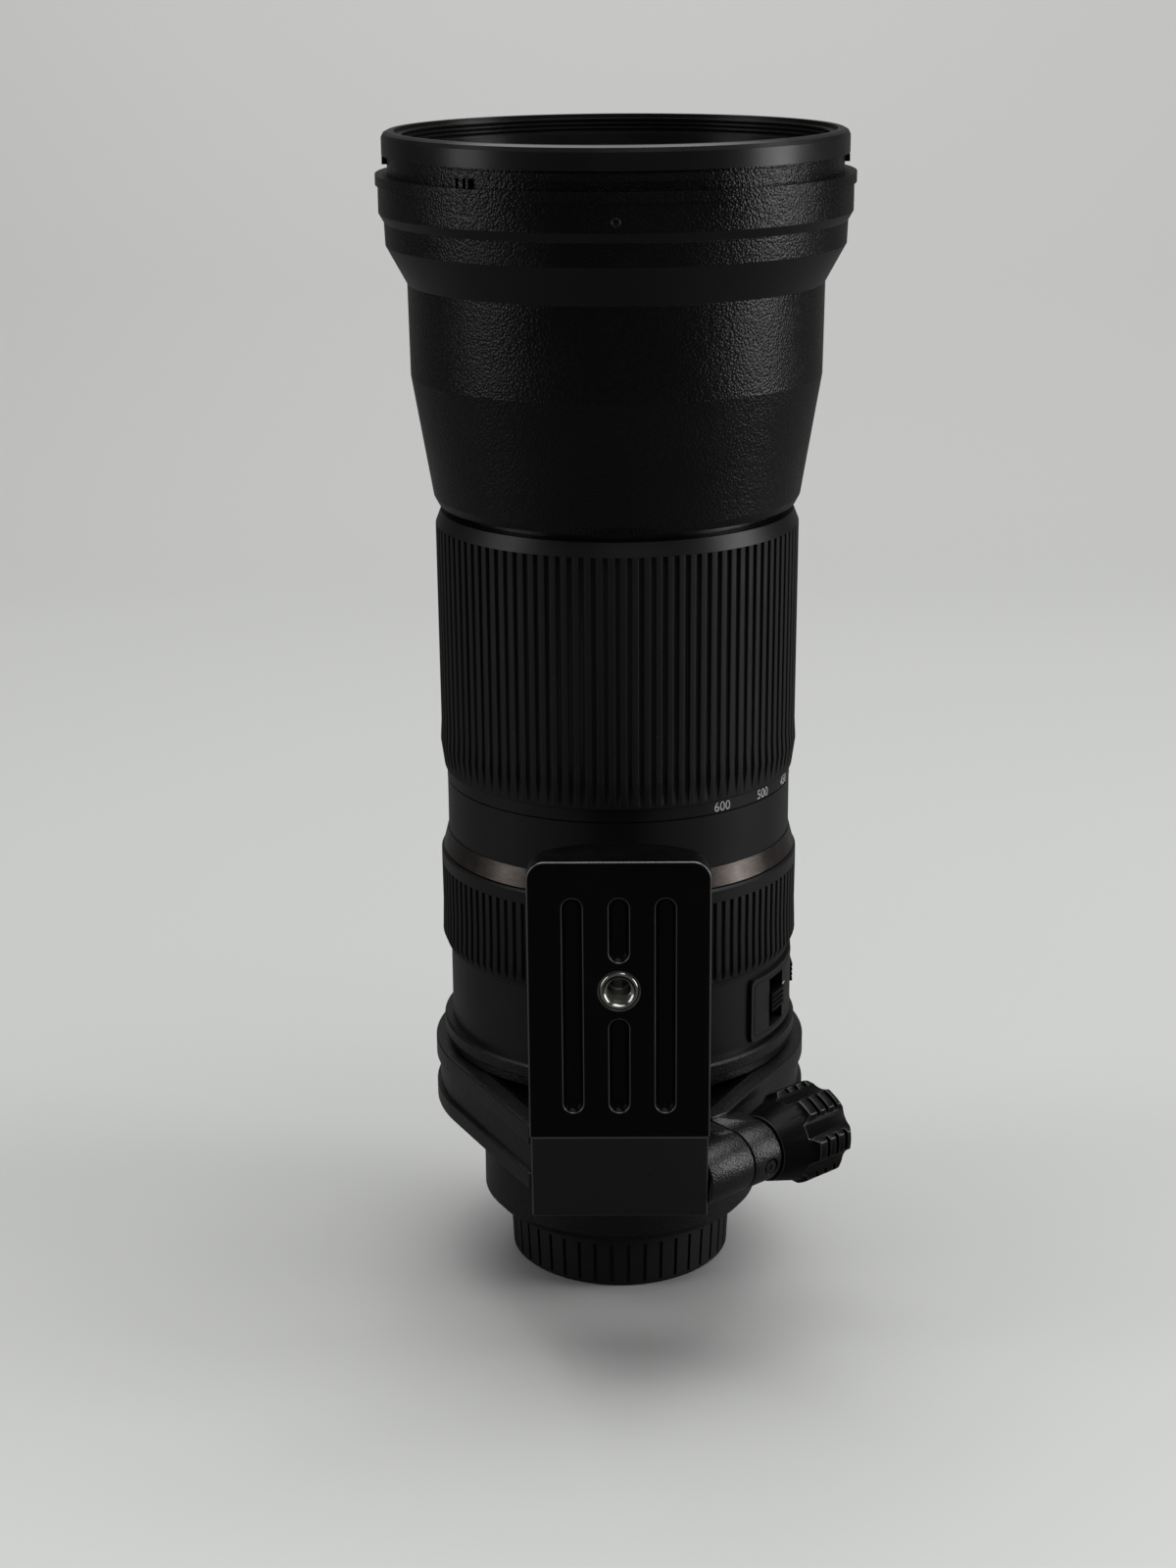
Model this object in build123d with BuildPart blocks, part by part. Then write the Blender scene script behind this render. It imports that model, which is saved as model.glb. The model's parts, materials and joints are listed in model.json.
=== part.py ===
from build123d import *
import math
import os

# A long zoom lens for a camera, standing on its rear cap, zoomed back to its short end.
# Millimetres. +Z runs along the optical axis to the front glass, and the origin is the centre
# of the cap's underside. The tripod foot faces -Y, the switches and the clamp knob +X.
# Angles round the barrel are in degrees from +X towards +Y unless their name says otherwise.

# Gaps and fits shared by the whole lens
turn_gap = 0.30         # between pieces that turn or slide past each other
ring_gap = 0.40         # end gap between neighbouring rings
pin_fit = 0.05          # radial clearance of a pin in its hole
thread_gap = 0.30       # radial room round a screw that slides free
cut_over = 2.0          # overrun of every cut
root_sink = 0.4         # how far a rib or web reaches into what carries it
foot_az = -90.0         # side of the barrel that the tripod foot faces
top_az = 90.0           # side away from the foot

# Rear cap
cap_height = 12.5
cap_stand = 5.0
cap_taper = 0.6
cap_edge = 0.8
cap_wall = 2.7
cap_floor = 2.0
cap_ribs = 42
cap_groove_w = 0.8
cap_groove_d = 1.1
cap_groove_rise = 1.3
cap_groove_drop = 1.3
cap_lug_t = 1.2
cap_lug_drop = 0.3
cap_lug_arc = 50.0

# Bayonet mount plate, stainless steel
flange_r = 27.2
flange_t = 1.9
tenon_r = 21.9
tenon_bore_r = 19.5
tenon_depth = 5.0
lug_r = 23.4
lug_t = 1.5
lug_arc = 45.0
lug_count = 3
mount_screw_circle_r = 24.7
mount_screw_r = 1.0
mount_screw_head_r = 1.6
mount_screw_count = 5
mount_screw_length = 3.6
contact_r_out = 19.3
contact_r_in = 17.5
contact_arc = 80.0
contact_height = 6.2
contact_drop = 4.6
contact_pin_r = 0.55
contact_pin_count = 9
contact_pin_stand = 0.35
lug_drop = 2.2

# Rear barrel, with the groove that the tripod collar turns in and the drum above it
barrel_foot_r = 31.2
rear_r = 33.0
rear_foot_h = 2.1
rear_tube_h = 33.1
groove_lip_r = 34.6
groove_lip_h = 1.3
drum_r = 41.0
drum_h = 2.1
barrel_floor_t = 4.0
barrel_floor_bore_r = 20.6
rear_bore_r = 31.0
drum_bore_r = 38.2

# Raised crinkle band above the drum
stop_ring_r = 42.0
stop_ring_h = 3.4
stop_ring_edge = 0.5

# Fixed barrel with the switches and the distance window
fixed_r = 40.0
switch_barrel_h = 18.0
panel_start = -41.7
panel_arc = 90.0
panel_r = 41.0
panel_seat_r = 39.4
panel_margin = 1.3
panel_corner = 1.6
slot_axial = 12.0
slot_width = 7.6
slot_pitch_deg = 29.0
slot_first_deg = -26.1
switch_height = 4.6
switch_side_gap = 0.35
switch_stand = 0.5
switch_grooves = 3
switch_groove_w = 0.5
window_arc = 40.0
window_height = 9.0
window_fit = 0.05
window_t = 1.5

# Focus ring, its rubber and the scale that turns with it
focus_ring_h = 23.9
focus_carrier_r = 40.6
focus_rim_r = 41.8
focus_rim_h = 3.2
focus_rim_edge = 0.5
focus_grip_lift = 0.6
focus_rib_r = 41.9
focus_waist_r = 41.7
focus_curl_r = 40.9
focus_curl_h = 2.6
focus_ribs = 110
rib_slot_share = 0.42
rib_depth = 0.75
scale_r = 37.6
scale_t = 0.9
scale_rise = 2.2
rotor_h = 3.4
rotor_r_in = 33.5
focus_turn = 120.0
key_w = 5.0
key_h = 2.4
stator_h = 7.0
stator_r = 36.3

# Accent ring and middle barrel
accent_h = 4.3
accent_r_low = 41.3
accent_r_top = 40.2
middle_h = 12.4
tail_r = 39.1
tail_bore_r = 38.15
lock_az = 140.0
lock_w = 8.0
lock_slot_h = 8.0
lock_h = 5.0
lock_stand = 1.1

# Zoom ring, its rubber and the cam tube inside it
zoom_ring_h = 63.1
zoom_band_r = 40.05
zoom_band_h = 2.9
zoom_carrier_r = 39.7
zoom_bore_r = 37.4
zoom_skirt_r = 37.8
zoom_skirt_drop = 35.2
zoom_shoulder_h = 3.1
zoom_shoulder_r = 41.4
zoom_shoulder_top_r = 40.2
zoom_rib_r = 41.42
zoom_waist_r = 41.18
zoom_waist_rise = 10.5
zoom_flare_rise = 6.0
zoom_curl_r = 40.6
zoom_ribs = 100
cam_r = 34.9
cam_t = 1.5
cam_flange_t = 2.5
cam_end_drop = 3.0
zoom_turn = 145.0
zoom_travel = 78.0
cam_slot_w = 4.6
cam_slot_steps = 12
follower_count = 3
follower_az = 30.0
follower_r = 2.1
follower_rise = 5.0

# Guide tube, fixed, with straight slots
guide_r = 33.0
guide_t = 1.5
guide_flange_t = 3.0
guide_slot_w = 4.6
guide_end_drop = 2.0

# Front barrel, from its lower lip to the step under the hood ring
neck_gap = 1.8
lip_step = 0.95
lip_h = 1.8
taper_step = 4.5
taper_h = 27.0
front_step = 5.05
front_h = 20.4
front_swell = 0.27
cone_h = 8.4
cone_step = 0.2
band_b_h = 5.0
band_b_r = 51.2
front_wall = 2.0
sleeve_r = 37.0
sleeve_t = 1.4
sleeve_low_gap = 3.5
sleeve_flange_t = 2.0

# Hood ring: crinkle band, flange and hood bayonet
hood_step_h = 2.0
band_a_step = 1.15
band_a_h = 6.1
hood_flange_step = 0.55
hood_flange_h = 2.2
hood_seat_h = 4.1
hood_seat_inset = 1.0
hood_lug_stand = 1.1
hood_lug_h = 1.6
hood_lug_drop = 0.5
hood_lug_arc = 89.0
hood_side_lug_arc = 70.0
hood_stop_w = 4.0
hood_stop_az = -130.8
hood_stop_slot_w = 0.9
hood_wall = 2.7

# Filter ring
filter_h = 5.0
filter_stand = 1.15
filter_edge = 1.3
filter_lip_w = 2.75
filter_wall = 1.0
filter_mouth_h = 0.9
filter_spigot_h = 3.1
throat_step = 2.1
thread_rings = 3
thread_pitch = 1.0
thread_depth = 0.54
thread_flat = 0.3

# Front cell and its glass
cell_low_gap = 0.35
cell_ledge = 3.3
cell_wall = 2.2
pocket_wall = 1.2
glass_edge_t = 4.4
glass_front_sag = 1.4
glass_back_sag = 3.2
retainer_lip = 1.5
retainer_h = 1.1
retainer_edge_h = 0.4
thread_clear = 2.4       # from the thread down to the retainer and the glass

# Inner groups
variator_rise = 27.0
variator_h = 10.0
variator_r = 31.0
variator_glass_r = 25.0
focus_cell_r = 30.2
focus_cell_h = 9.0
focus_glass_r = 22.0
focus_cell_drop = 12.5
rear_cell_r = 17.0
rear_cell_wall = 1.8
rear_cell_drop = 3.0
rear_cell_h = 26.0
rear_glass_t = 5.0
rear_flange_t = 2.6
board_t = 1.6
frame_t = 3.2
frame_bore_r = 22.0
frame_rise = 14.0
stab_r = 24.5
stab_h = 7.0
stab_glass_r = 19.0
lens_bulge = 1.6

# Iris with nine blades
iris_rise = 33.0
iris_plate_t = 1.2
iris_hole_r = 16.0
blade_count = 9
blade_t = 0.15
blade_pitch = 0.32
blade_in_r = 17.6
blade_out_r = 24.6
blade_arc = 84.0
blade_pivot_r = 27.2
blade_ear_r = 2.0
blade_pin_r = 0.7
iris_ring_r = 30.0
iris_ring_t = 1.6

# Tripod collar, arm, hinge and clamp
collar_gap = 0.3
collar_h = 15.5
collar_web_h = 4.5
collar_r = 44.2
collar_skirt_step = 3.2
collar_waist_step = 0.9
collar_low_band_h = 4.0
collar_top_band_h = 4.5
arm_t = 4.4
arm_slope = 62.7
hinge_az = 156.0
hinge_inset = 1.8
knuckle_r = 2.1
knuckle_h = 5.0
hinge_pin_r = 1.0
clamp_stand = 18.99
clamp_place_az = -66.4
clamp_az = 42.0
boss_r = 7.0
boss_arm_length = 8.4
boss_body_length = 13.0
stud_r = 2.45
stud_reach = 4.6
stud_root = 12.0
knob_gap = 0.1
knob_neck_l = 7.6
knob_body_l = 11.7
knob_r = 10.7
knob_neck_r = 7.6
knob_lobes = 6
knob_flute_r = 5.2
knob_flute_depth = 1.7
knob_edge = 1.0
knob_notches = 3
knob_notch_first = 3.2
knob_notch_step = 2.8
knob_notch_w = 0.9
knob_notch_d = 1.0
split_gap = 0.35
arm_screw_out = 5.2
arm_screw_drop = 1.1
arm_screw_r = 0.8
arm_screw_head_r = 1.45
arm_screw_head_t = 0.6
arm_screw_recess_r = 1.95
arm_screw_recess_d = 0.9
arm_screw_cross_l = 1.7
arm_screw_cross_w = 0.35
arm_screw_cross_d = 0.35

# Foot
foot_front_y = -74.0
foot_half_w = 19.5
foot_half_w_low = 19.2
foot_top = 124.0
foot_corner = 4.0
foot_edge_t = 5.0
foot_mid_t = 13.4
foot_toe_y = -70.0
foot_knee_z = 61.0
foot_back_y = -57.0
foot_block_back_y = -50.0
foot_block_top_back_y = -60.6
groove_w = 4.4
groove_pitch = 9.9
groove_d = 1.6
groove_low_z = 66.9
groove_high_z = 115.9
groove_mid_low_top_z = 88.6
groove_mid_high_z = 101.4
socket_z = 95.0
bush_r = 4.3
bush_length = 9.0
socket_r = 2.6
socket_depth = 8.0

# Heights along the axis, stacked from the cap's underside
mount_z = cap_height + turn_gap
barrel_z = mount_z + flange_t
rear_tube_z = barrel_z + rear_foot_h
groove_lip_z = rear_tube_z + rear_tube_h
groove_z = groove_lip_z + groove_lip_h
collar_top_z = groove_z + collar_gap + collar_web_h
collar_z = collar_top_z - collar_h
drum_z = collar_top_z + collar_gap
stop_ring_z = drum_z + drum_h
switch_z = stop_ring_z + stop_ring_h
switch_top_z = switch_z + switch_barrel_h
focus_z = switch_top_z + ring_gap
focus_top_z = focus_z + focus_ring_h
accent_z = focus_top_z + ring_gap
middle_z = accent_z + accent_h
middle_top_z = middle_z + middle_h
zoom_z = middle_top_z + turn_gap
zoom_top_z = zoom_z + zoom_ring_h
front_z = zoom_top_z + neck_gap
front_top_z = front_z + lip_h + taper_h + front_h + cone_h + band_b_h
hood_top_z = front_top_z + hood_step_h + band_a_h + hood_flange_h + hood_seat_h
top_z = hood_top_z + filter_h
skirt_z = zoom_z - zoom_skirt_drop
cam_top_z = zoom_top_z - cam_end_drop
sleeve_z = skirt_z + cam_flange_t + sleeve_low_gap
follower_z = sleeve_z + follower_rise
sleeve_top_z = front_z + lip_h + taper_h
collar_mid_z = collar_z + collar_h / 2
focus_bore_r = tail_r + turn_gap
guide_z = switch_z - guide_flange_t
rotor_z = skirt_z - turn_gap - rotor_h
stator_z = rotor_z - turn_gap - stator_h
guide_bore_r = guide_r - guide_t

# Radii of the cap and the collar, stepped from the tenon and the collar's band
cap_r_top = tenon_r + cap_stand
cap_r_bottom = cap_r_top - cap_taper
collar_skirt_r = collar_r - collar_skirt_step
collar_waist_r = collar_r - collar_waist_step
hinge_r = collar_r - hinge_inset
clamp_x = (collar_r + clamp_stand) * math.cos(math.radians(clamp_place_az))
clamp_y = (collar_r + clamp_stand) * math.sin(math.radians(clamp_place_az))

# Radii of the front, stepped from the band under the hood ring
front_r = band_b_r - front_step
taper_r_low = front_r - taper_step
lip_r = taper_r_low - lip_step
front_r_top = front_r + front_swell
cone_r_top = band_b_r - cone_step
band_a_r = band_b_r + band_a_step
hood_flange_r = band_a_r + hood_flange_step
hood_bore_r = band_b_r - hood_wall
hood_seat_r = band_b_r - hood_seat_inset
hood_lug_r = hood_seat_r + hood_lug_stand
filter_r = hood_seat_r + filter_stand
filter_mouth_r = filter_r - filter_lip_w
filter_thread_r = hood_bore_r - filter_wall
filter_throat_r = filter_thread_r - throat_step
cell_low_r = front_r - front_wall - cell_low_gap
cell_bore_r = cell_low_r - cell_ledge
cell_top_r = hood_bore_r - turn_gap
cell_rim_r = filter_throat_r - turn_gap
glass_r = cell_rim_r - pocket_wall
retainer_r_in = glass_r - retainer_lip


def ring_section(outline):
    """Half section through the axis, from (radius, height) points in order round it."""
    with BuildSketch(Plane.XZ) as section:
        with BuildLine():
            Polyline(*outline, close=True)
        make_face()
    return section.sketch


def band_section(r_in, r_out, low_z, high_z):
    """Half section of a plain ring with square edges."""
    return ring_section([(r_in, low_z), (r_out, low_z), (r_out, high_z), (r_in, high_z)])


def sector(radius, start, arc):
    """Pie slice of a disc at the origin, from the angle start over arc degrees."""
    reach = radius / math.cos(math.radians(arc / 4))
    angles = [start + arc * step / 4 for step in range(5)]
    points = [(0, 0)]
    for place, angle in enumerate(angles):
        long = reach if place in (1, 3) else radius
        points.append((long * math.cos(math.radians(angle)), long * math.sin(math.radians(angle))))
    with BuildSketch() as slice_sketch:
        with BuildLine():
            Polyline(*points, close=True)
        make_face()
    return slice_sketch.sketch


def arc_band(r_in, r_out, start, arc):
    """Flat part of a ring between two angles."""
    with BuildSketch() as band:
        Circle(r_out)
        Circle(r_in, mode=Mode.SUBTRACT)
        add(sector(2 * r_out, start, arc), mode=Mode.INTERSECT)
    return band.sketch


def polar(radius, angle):
    """Plan point at a radius and an angle in degrees."""
    return (radius * math.cos(math.radians(angle)), radius * math.sin(math.radians(angle)))


def lens_section(radius, low_z, edge_t, back_sag, front_sag):
    """Half section of a lens whose faces are arcs that bulge at both ends."""
    back = low_z + back_sag
    front = back + edge_t
    with BuildSketch(Plane.XZ) as section:
        with BuildLine():
            Line((0, low_z), (0, front + front_sag))
            ThreePointArc(*dome_points(radius, front, front_sag))
            Line((radius, front), (radius, back))
            ThreePointArc(*dome_points(radius, back, -back_sag))
        make_face()
    return section.sketch


def dome_points(radius, edge_z, sag):
    """Three points of a dome's half section, from its apex to its edge."""
    bulge_r = (radius**2 + sag**2) / (2 * abs(sag))
    half = math.asin(radius / bulge_r) / 2
    drop = bulge_r * (1 - math.cos(half)) * (1 if sag > 0 else -1)
    apex = edge_z + sag
    return (0, apex), (bulge_r * math.sin(half), apex - drop), (radius, edge_z)


def bands(solid_count, radius, start=0):
    """Places spaced evenly round the axis."""
    return PolarLocations(radius, solid_count, start_angle=start)


# Rear cap: a knurled cup with three inner lugs that hold it to the mount's lugs
with BuildPart() as rear_cap:
    revolve(ring_section([
        (0, 0),
        (cap_r_bottom - cap_edge, 0),
        (cap_r_bottom, cap_edge),
        (cap_r_top, cap_height),
        (cap_r_top - cap_wall, cap_height),
        (cap_r_top - cap_wall, cap_floor),
        (0, cap_floor),
    ]), axis=Axis.Z)
    cap_lug_z = cap_height - cap_lug_drop - cap_lug_t
    for cap_lug in range(lug_count):
        with BuildSketch(Plane.XY.offset(cap_lug_z)):
            add(arc_band(tenon_r + turn_gap, cap_r_top - cap_wall + root_sink,
                         360 / lug_count * cap_lug, cap_lug_arc))
        extrude(amount=cap_lug_t)
    with BuildSketch(Plane.XY.offset(cap_groove_rise)):
        with bands(cap_ribs, cap_r_top):
            Rectangle(2 * cap_groove_d, cap_groove_w)
    extrude(amount=cap_height - cap_groove_rise - cap_groove_drop, mode=Mode.SUBTRACT)
rear_cap.part.label = "rear_cap"


def screw_solid(head_r, shank_r, low_z, length):
    """Half section of a countersunk screw that points up from its flush head."""
    sink = head_r - shank_r
    return ring_section([
        (0, low_z),
        (head_r, low_z),
        (shank_r, low_z + sink),
        (shank_r, low_z + length),
        (0, low_z + length),
    ])


with BuildPart(mode=Mode.PRIVATE) as mount_screw:
    revolve(screw_solid(mount_screw_head_r, mount_screw_r, mount_z, mount_screw_length), axis=Axis.Z)

with BuildPart() as mount_screws:
    with bands(mount_screw_count, mount_screw_circle_r, start=foot_az):
        add(mount_screw.part)
mount_screws.part.label = "mount_screws"

# Mount plate: the flange seats on the camera, the tenon and its three lugs go inside
with BuildPart() as mount_plate:
    revolve(ring_section([
        (tenon_bore_r, mount_z - tenon_depth),
        (tenon_r, mount_z - tenon_depth),
        (tenon_r, mount_z),
        (flange_r, mount_z),
        (flange_r, barrel_z),
        (tenon_bore_r, barrel_z),
    ]), axis=Axis.Z)
    for lug in range(lug_count):
        with BuildSketch(Plane.XY.offset(mount_z - lug_drop - lug_t)):
            add(arc_band(tenon_r - root_sink, lug_r, 360 / lug_count * lug, lug_arc))
        extrude(amount=lug_t)
    add(mount_screws.part, mode=Mode.SUBTRACT)
mount_plate.part.label = "mount_plate"

# Contact block: a curved block inside the tenon, with a row of round contact pins
with BuildPart() as contact_block:
    with BuildSketch(Plane.XY.offset(mount_z - contact_drop)):
        add(arc_band(contact_r_in, contact_r_out, top_az - contact_arc / 2, contact_arc))
    extrude(amount=contact_height)
    contact_mid_r = (contact_r_in + contact_r_out) / 2
    contact_step = contact_arc / (contact_pin_count + 1)
    for contact in range(contact_pin_count):
        contact_az = top_az - contact_arc / 2 + contact_step * (contact + 1)
        with BuildSketch(Plane.XY.offset(mount_z - contact_drop - contact_pin_stand)):
            with Locations(polar(contact_mid_r, contact_az)):
                Circle(contact_pin_r)
        extrude(amount=contact_pin_stand + root_sink)
contact_block.part.label = "contact_block"

# Rear barrel: one shell from the mount to the switches, narrow where the collar turns
with BuildPart() as rear_barrel:
    floor_top = barrel_z + barrel_floor_t
    revolve(ring_section([
        (barrel_floor_bore_r, barrel_z),
        (barrel_foot_r, barrel_z),
        (rear_r, rear_tube_z),
        (rear_r, groove_lip_z),
        (groove_lip_r, groove_lip_z),
        (groove_lip_r, groove_z),
        (rear_r, groove_z),
        (rear_r, drum_z),
        (drum_r, drum_z),
        (drum_r, stop_ring_z),
        (stop_ring_r - stop_ring_edge, stop_ring_z),
        (stop_ring_r, stop_ring_z + stop_ring_edge),
        (stop_ring_r, switch_z - stop_ring_edge),
        (stop_ring_r - stop_ring_edge, switch_z),
        (drum_bore_r, switch_z),
        (drum_bore_r, guide_z),
        (rear_bore_r, guide_z),
        (rear_bore_r, floor_top),
        (barrel_floor_bore_r, floor_top),
    ]), axis=Axis.Z)
    add(mount_screws.part, mode=Mode.SUBTRACT)
rear_barrel.part.label = "rear_barrel"

# Switch barrel: a shelf for the switch panel on the +X side and a window opening on top, at +Y
switch_mid_z = switch_z + switch_barrel_h / 2
slot_places = [slot_first_deg + slot_pitch_deg * place for place in range(3)]


def radial_box(azimuth, mid_z, radius, depth, width, height):
    """Box whose depth runs outwards from a radius, seen square on at an angle."""
    plane = Plane(
        origin=(*polar(radius, azimuth), mid_z),
        x_dir=(*polar(1, azimuth + 90), 0),
        z_dir=(*polar(1, azimuth), 0),
    )
    with BuildSketch(plane) as face:
        Rectangle(width, height)
    return extrude(face.sketch, amount=depth, mode=Mode.PRIVATE)


panel_height = switch_barrel_h - 2 * panel_margin
slot_depth = panel_r - drum_bore_r + cut_over
with BuildPart() as switch_barrel:
    revolve(band_section(drum_bore_r, fixed_r, switch_z, switch_top_z), axis=Axis.Z)
    with BuildSketch(Plane.XY.offset(switch_mid_z - panel_height / 2)):
        add(arc_band(panel_seat_r, fixed_r + cut_over, panel_start, panel_arc))
    extrude(amount=panel_height, mode=Mode.SUBTRACT)
    for slot_az in slot_places:
        add(radial_box(slot_az, switch_mid_z, drum_bore_r - cut_over, slot_depth, slot_width, slot_axial),
            mode=Mode.SUBTRACT)
    with BuildSketch(Plane.XY.offset(switch_mid_z - window_height / 2)):
        add(arc_band(drum_bore_r - cut_over, fixed_r + cut_over, top_az - window_arc / 2, window_arc))
    extrude(amount=window_height, mode=Mode.SUBTRACT)
switch_barrel.part.label = "switch_barrel"

with BuildPart() as switch_panel:
    with BuildSketch(Plane.XY.offset(switch_mid_z - panel_height / 2)):
        add(arc_band(panel_seat_r, panel_r, panel_start, panel_arc))
    extrude(amount=panel_height)
    corner_edges = switch_panel.edges().filter_by(GeomType.LINE).group_by(SortBy.LENGTH)[0]
    fillet(corner_edges, panel_corner)
    for slot_az in slot_places:
        add(radial_box(slot_az, switch_mid_z, panel_seat_r - cut_over, slot_depth, slot_width, slot_axial),
            mode=Mode.SUBTRACT)
switch_panel.part.label = "switch_panel"


def slide_button(azimuth, mid_z, root_r, top_r, width, height):
    """Sliding button with cross grooves on its outer face."""
    with BuildPart(mode=Mode.PRIVATE) as button:
        add(radial_box(azimuth, mid_z, root_r, top_r - root_r, width, height))
        for groove in range(switch_grooves):
            groove_rise = height / (switch_grooves + 1) * (groove + 1) - height / 2
            add(radial_box(azimuth, mid_z + groove_rise, top_r - switch_groove_w / 2, switch_groove_w,
                           width + cut_over, switch_groove_w), mode=Mode.SUBTRACT)
    return button.part


switch_w = slot_width - 2 * switch_side_gap
switch_root_r = drum_bore_r
switch_top_r = panel_r + switch_stand
with BuildPart() as stabilizer_switch:
    add(slide_button(slot_places[0], switch_mid_z, switch_root_r, switch_top_r, switch_w, switch_height))
stabilizer_switch.part.label = "stabilizer_switch"

with BuildPart() as focus_mode_switch:
    add(slide_button(slot_places[1], switch_mid_z, switch_root_r, switch_top_r, switch_w, switch_height))
focus_mode_switch.part.label = "focus_mode_switch"

with BuildPart() as focus_limit_switch:
    add(slide_button(slot_places[2], switch_mid_z, switch_root_r, switch_top_r, switch_w, switch_height))
focus_limit_switch.part.label = "focus_limit_switch"

with BuildPart() as distance_window:
    window_edge_deg = math.degrees(window_fit / fixed_r)
    with BuildSketch(Plane.XY.offset(switch_mid_z - window_height / 2 + window_fit)):
        add(arc_band(fixed_r - window_t, fixed_r, top_az - window_arc / 2 + window_edge_deg,
                     window_arc - 2 * window_edge_deg))
    extrude(amount=window_height - 2 * window_fit)
distance_window.part.label = "distance_window"

# Middle barrel: a thin tail inside the focus ring, then the fixed band below the zoom ring
key_az = 150.0
key_deg = math.degrees(key_w / tail_r)
key_gap_deg = math.degrees(2 * turn_gap / tail_r)
key_z = rotor_z + (rotor_h - key_h) / 2
with BuildPart() as middle_barrel:
    revolve(ring_section([
        (tail_bore_r, switch_top_z),
        (tail_r, switch_top_z),
        (tail_r, middle_z),
        (fixed_r, middle_z),
        (fixed_r, middle_top_z),
        (tail_bore_r, middle_top_z),
    ]), axis=Axis.Z)
    with BuildSketch(Plane.XY.offset(key_z - turn_gap)):
        add(arc_band(tail_bore_r - cut_over, tail_r + cut_over, key_az - key_deg / 2 - key_gap_deg,
                     focus_turn + key_deg + 2 * key_gap_deg))
    extrude(amount=key_h + 2 * turn_gap, mode=Mode.SUBTRACT)
    lock_slot_z = (middle_z + middle_top_z) / 2
    add(radial_box(lock_az, lock_slot_z, fixed_r - lock_stand, cut_over + lock_stand,
                   lock_w + 2 * switch_side_gap, lock_slot_h), mode=Mode.SUBTRACT)
middle_barrel.part.label = "middle_barrel"

with BuildPart() as zoom_lock_switch:
    lock_low = lock_slot_z - lock_slot_h / 2 + turn_gap + lock_h / 2
    add(slide_button(lock_az, lock_low, fixed_r - lock_stand + pin_fit, fixed_r + lock_stand, lock_w, lock_h))
zoom_lock_switch.part.label = "zoom_lock_switch"

with BuildPart() as accent_ring:
    revolve(ring_section([
        (tail_r, accent_z),
        (accent_r_low, accent_z),
        (accent_r_top, middle_z),
        (tail_r, middle_z),
    ]), axis=Axis.Z)
accent_ring.part.label = "accent_ring"


def ribbed_ring(outline, rib_count, ring_r, slot_w, slot_low_z, slot_high_z):
    """Rubber sleeve: a turned ring cut by straight slots, which leaves its ribs."""
    with BuildPart(mode=Mode.PRIVATE) as sleeve:
        revolve(ring_section(outline), axis=Axis.Z)
        with BuildSketch(Plane.XY.offset(slot_low_z)):
            with bands(rib_count, ring_r):
                Rectangle(2 * rib_depth, slot_w)
        extrude(amount=slot_high_z - slot_low_z, mode=Mode.SUBTRACT)
    return sleeve.part


# Focus ring with its rubber, and the motor and scale that turn with it
focus_rim_z = focus_top_z - focus_rim_h
focus_grip_z = focus_z + focus_grip_lift
with BuildPart() as focus_ring:
    revolve(ring_section([
        (focus_bore_r, focus_z),
        (focus_carrier_r, focus_z),
        (focus_carrier_r, focus_rim_z),
        (focus_rim_r, focus_rim_z),
        (focus_rim_r, focus_top_z - focus_rim_edge),
        (focus_rim_r - focus_rim_edge, focus_top_z),
        (focus_bore_r, focus_top_z),
    ]), axis=Axis.Z)
focus_ring.part.label = "focus_ring"

focus_grip_mid_z = (focus_grip_z + focus_rim_z) / 2
focus_outline = [
    (focus_carrier_r, focus_grip_z),
    (focus_curl_r, focus_grip_z),
    (focus_rib_r, focus_grip_z + focus_curl_h),
    (focus_waist_r, focus_grip_mid_z),
    (focus_rim_r, focus_rim_z),
    (focus_carrier_r, focus_rim_z),
]
focus_slot_w = 2 * math.pi * focus_rib_r / focus_ribs * rib_slot_share
with BuildPart() as focus_grip:
    add(ribbed_ring(focus_outline, focus_ribs, focus_rib_r, focus_slot_w, focus_grip_z - cut_over,
                    focus_rim_z))
focus_grip.part.label = "focus_grip"

with BuildPart() as motor_rotor:
    revolve(band_section(rotor_r_in, scale_r, rotor_z, rotor_z + rotor_h), axis=Axis.Z)
    with BuildSketch(Plane.XY.offset(key_z)):
        add(arc_band(scale_r - root_sink, focus_bore_r, key_az - key_deg / 2, key_deg))
    extrude(amount=key_h)
motor_rotor.part.label = "motor_rotor"

with BuildPart() as distance_scale:
    revolve(band_section(scale_r - scale_t, scale_r, switch_z + scale_rise, rotor_z), axis=Axis.Z)
distance_scale.part.label = "distance_scale"

with BuildPart() as motor_stator:
    revolve(band_section(guide_r, stator_r, stator_z, stator_z + stator_h), axis=Axis.Z)
motor_stator.part.label = "motor_stator"

with BuildPart() as main_board:
    revolve(band_section(guide_r, drum_bore_r, switch_z, switch_z + board_t), axis=Axis.Z)
main_board.part.label = "main_board"

# Zoom ring with its rubber; its skirt reaches down inside the middle barrel to the cam tube
zoom_grip_z = zoom_z + zoom_band_h
zoom_shoulder_z = zoom_top_z - zoom_shoulder_h
with BuildPart() as zoom_ring:
    revolve(ring_section([
        (zoom_bore_r, skirt_z),
        (zoom_skirt_r, skirt_z),
        (zoom_skirt_r, zoom_z),
        (zoom_band_r, zoom_z),
        (zoom_band_r, zoom_grip_z),
        (zoom_carrier_r, zoom_grip_z),
        (zoom_carrier_r, zoom_shoulder_z),
        (zoom_shoulder_r, zoom_shoulder_z),
        (zoom_shoulder_top_r, zoom_top_z),
        (zoom_bore_r, zoom_top_z),
    ]), axis=Axis.Z)
zoom_ring.part.label = "zoom_ring"

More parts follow.
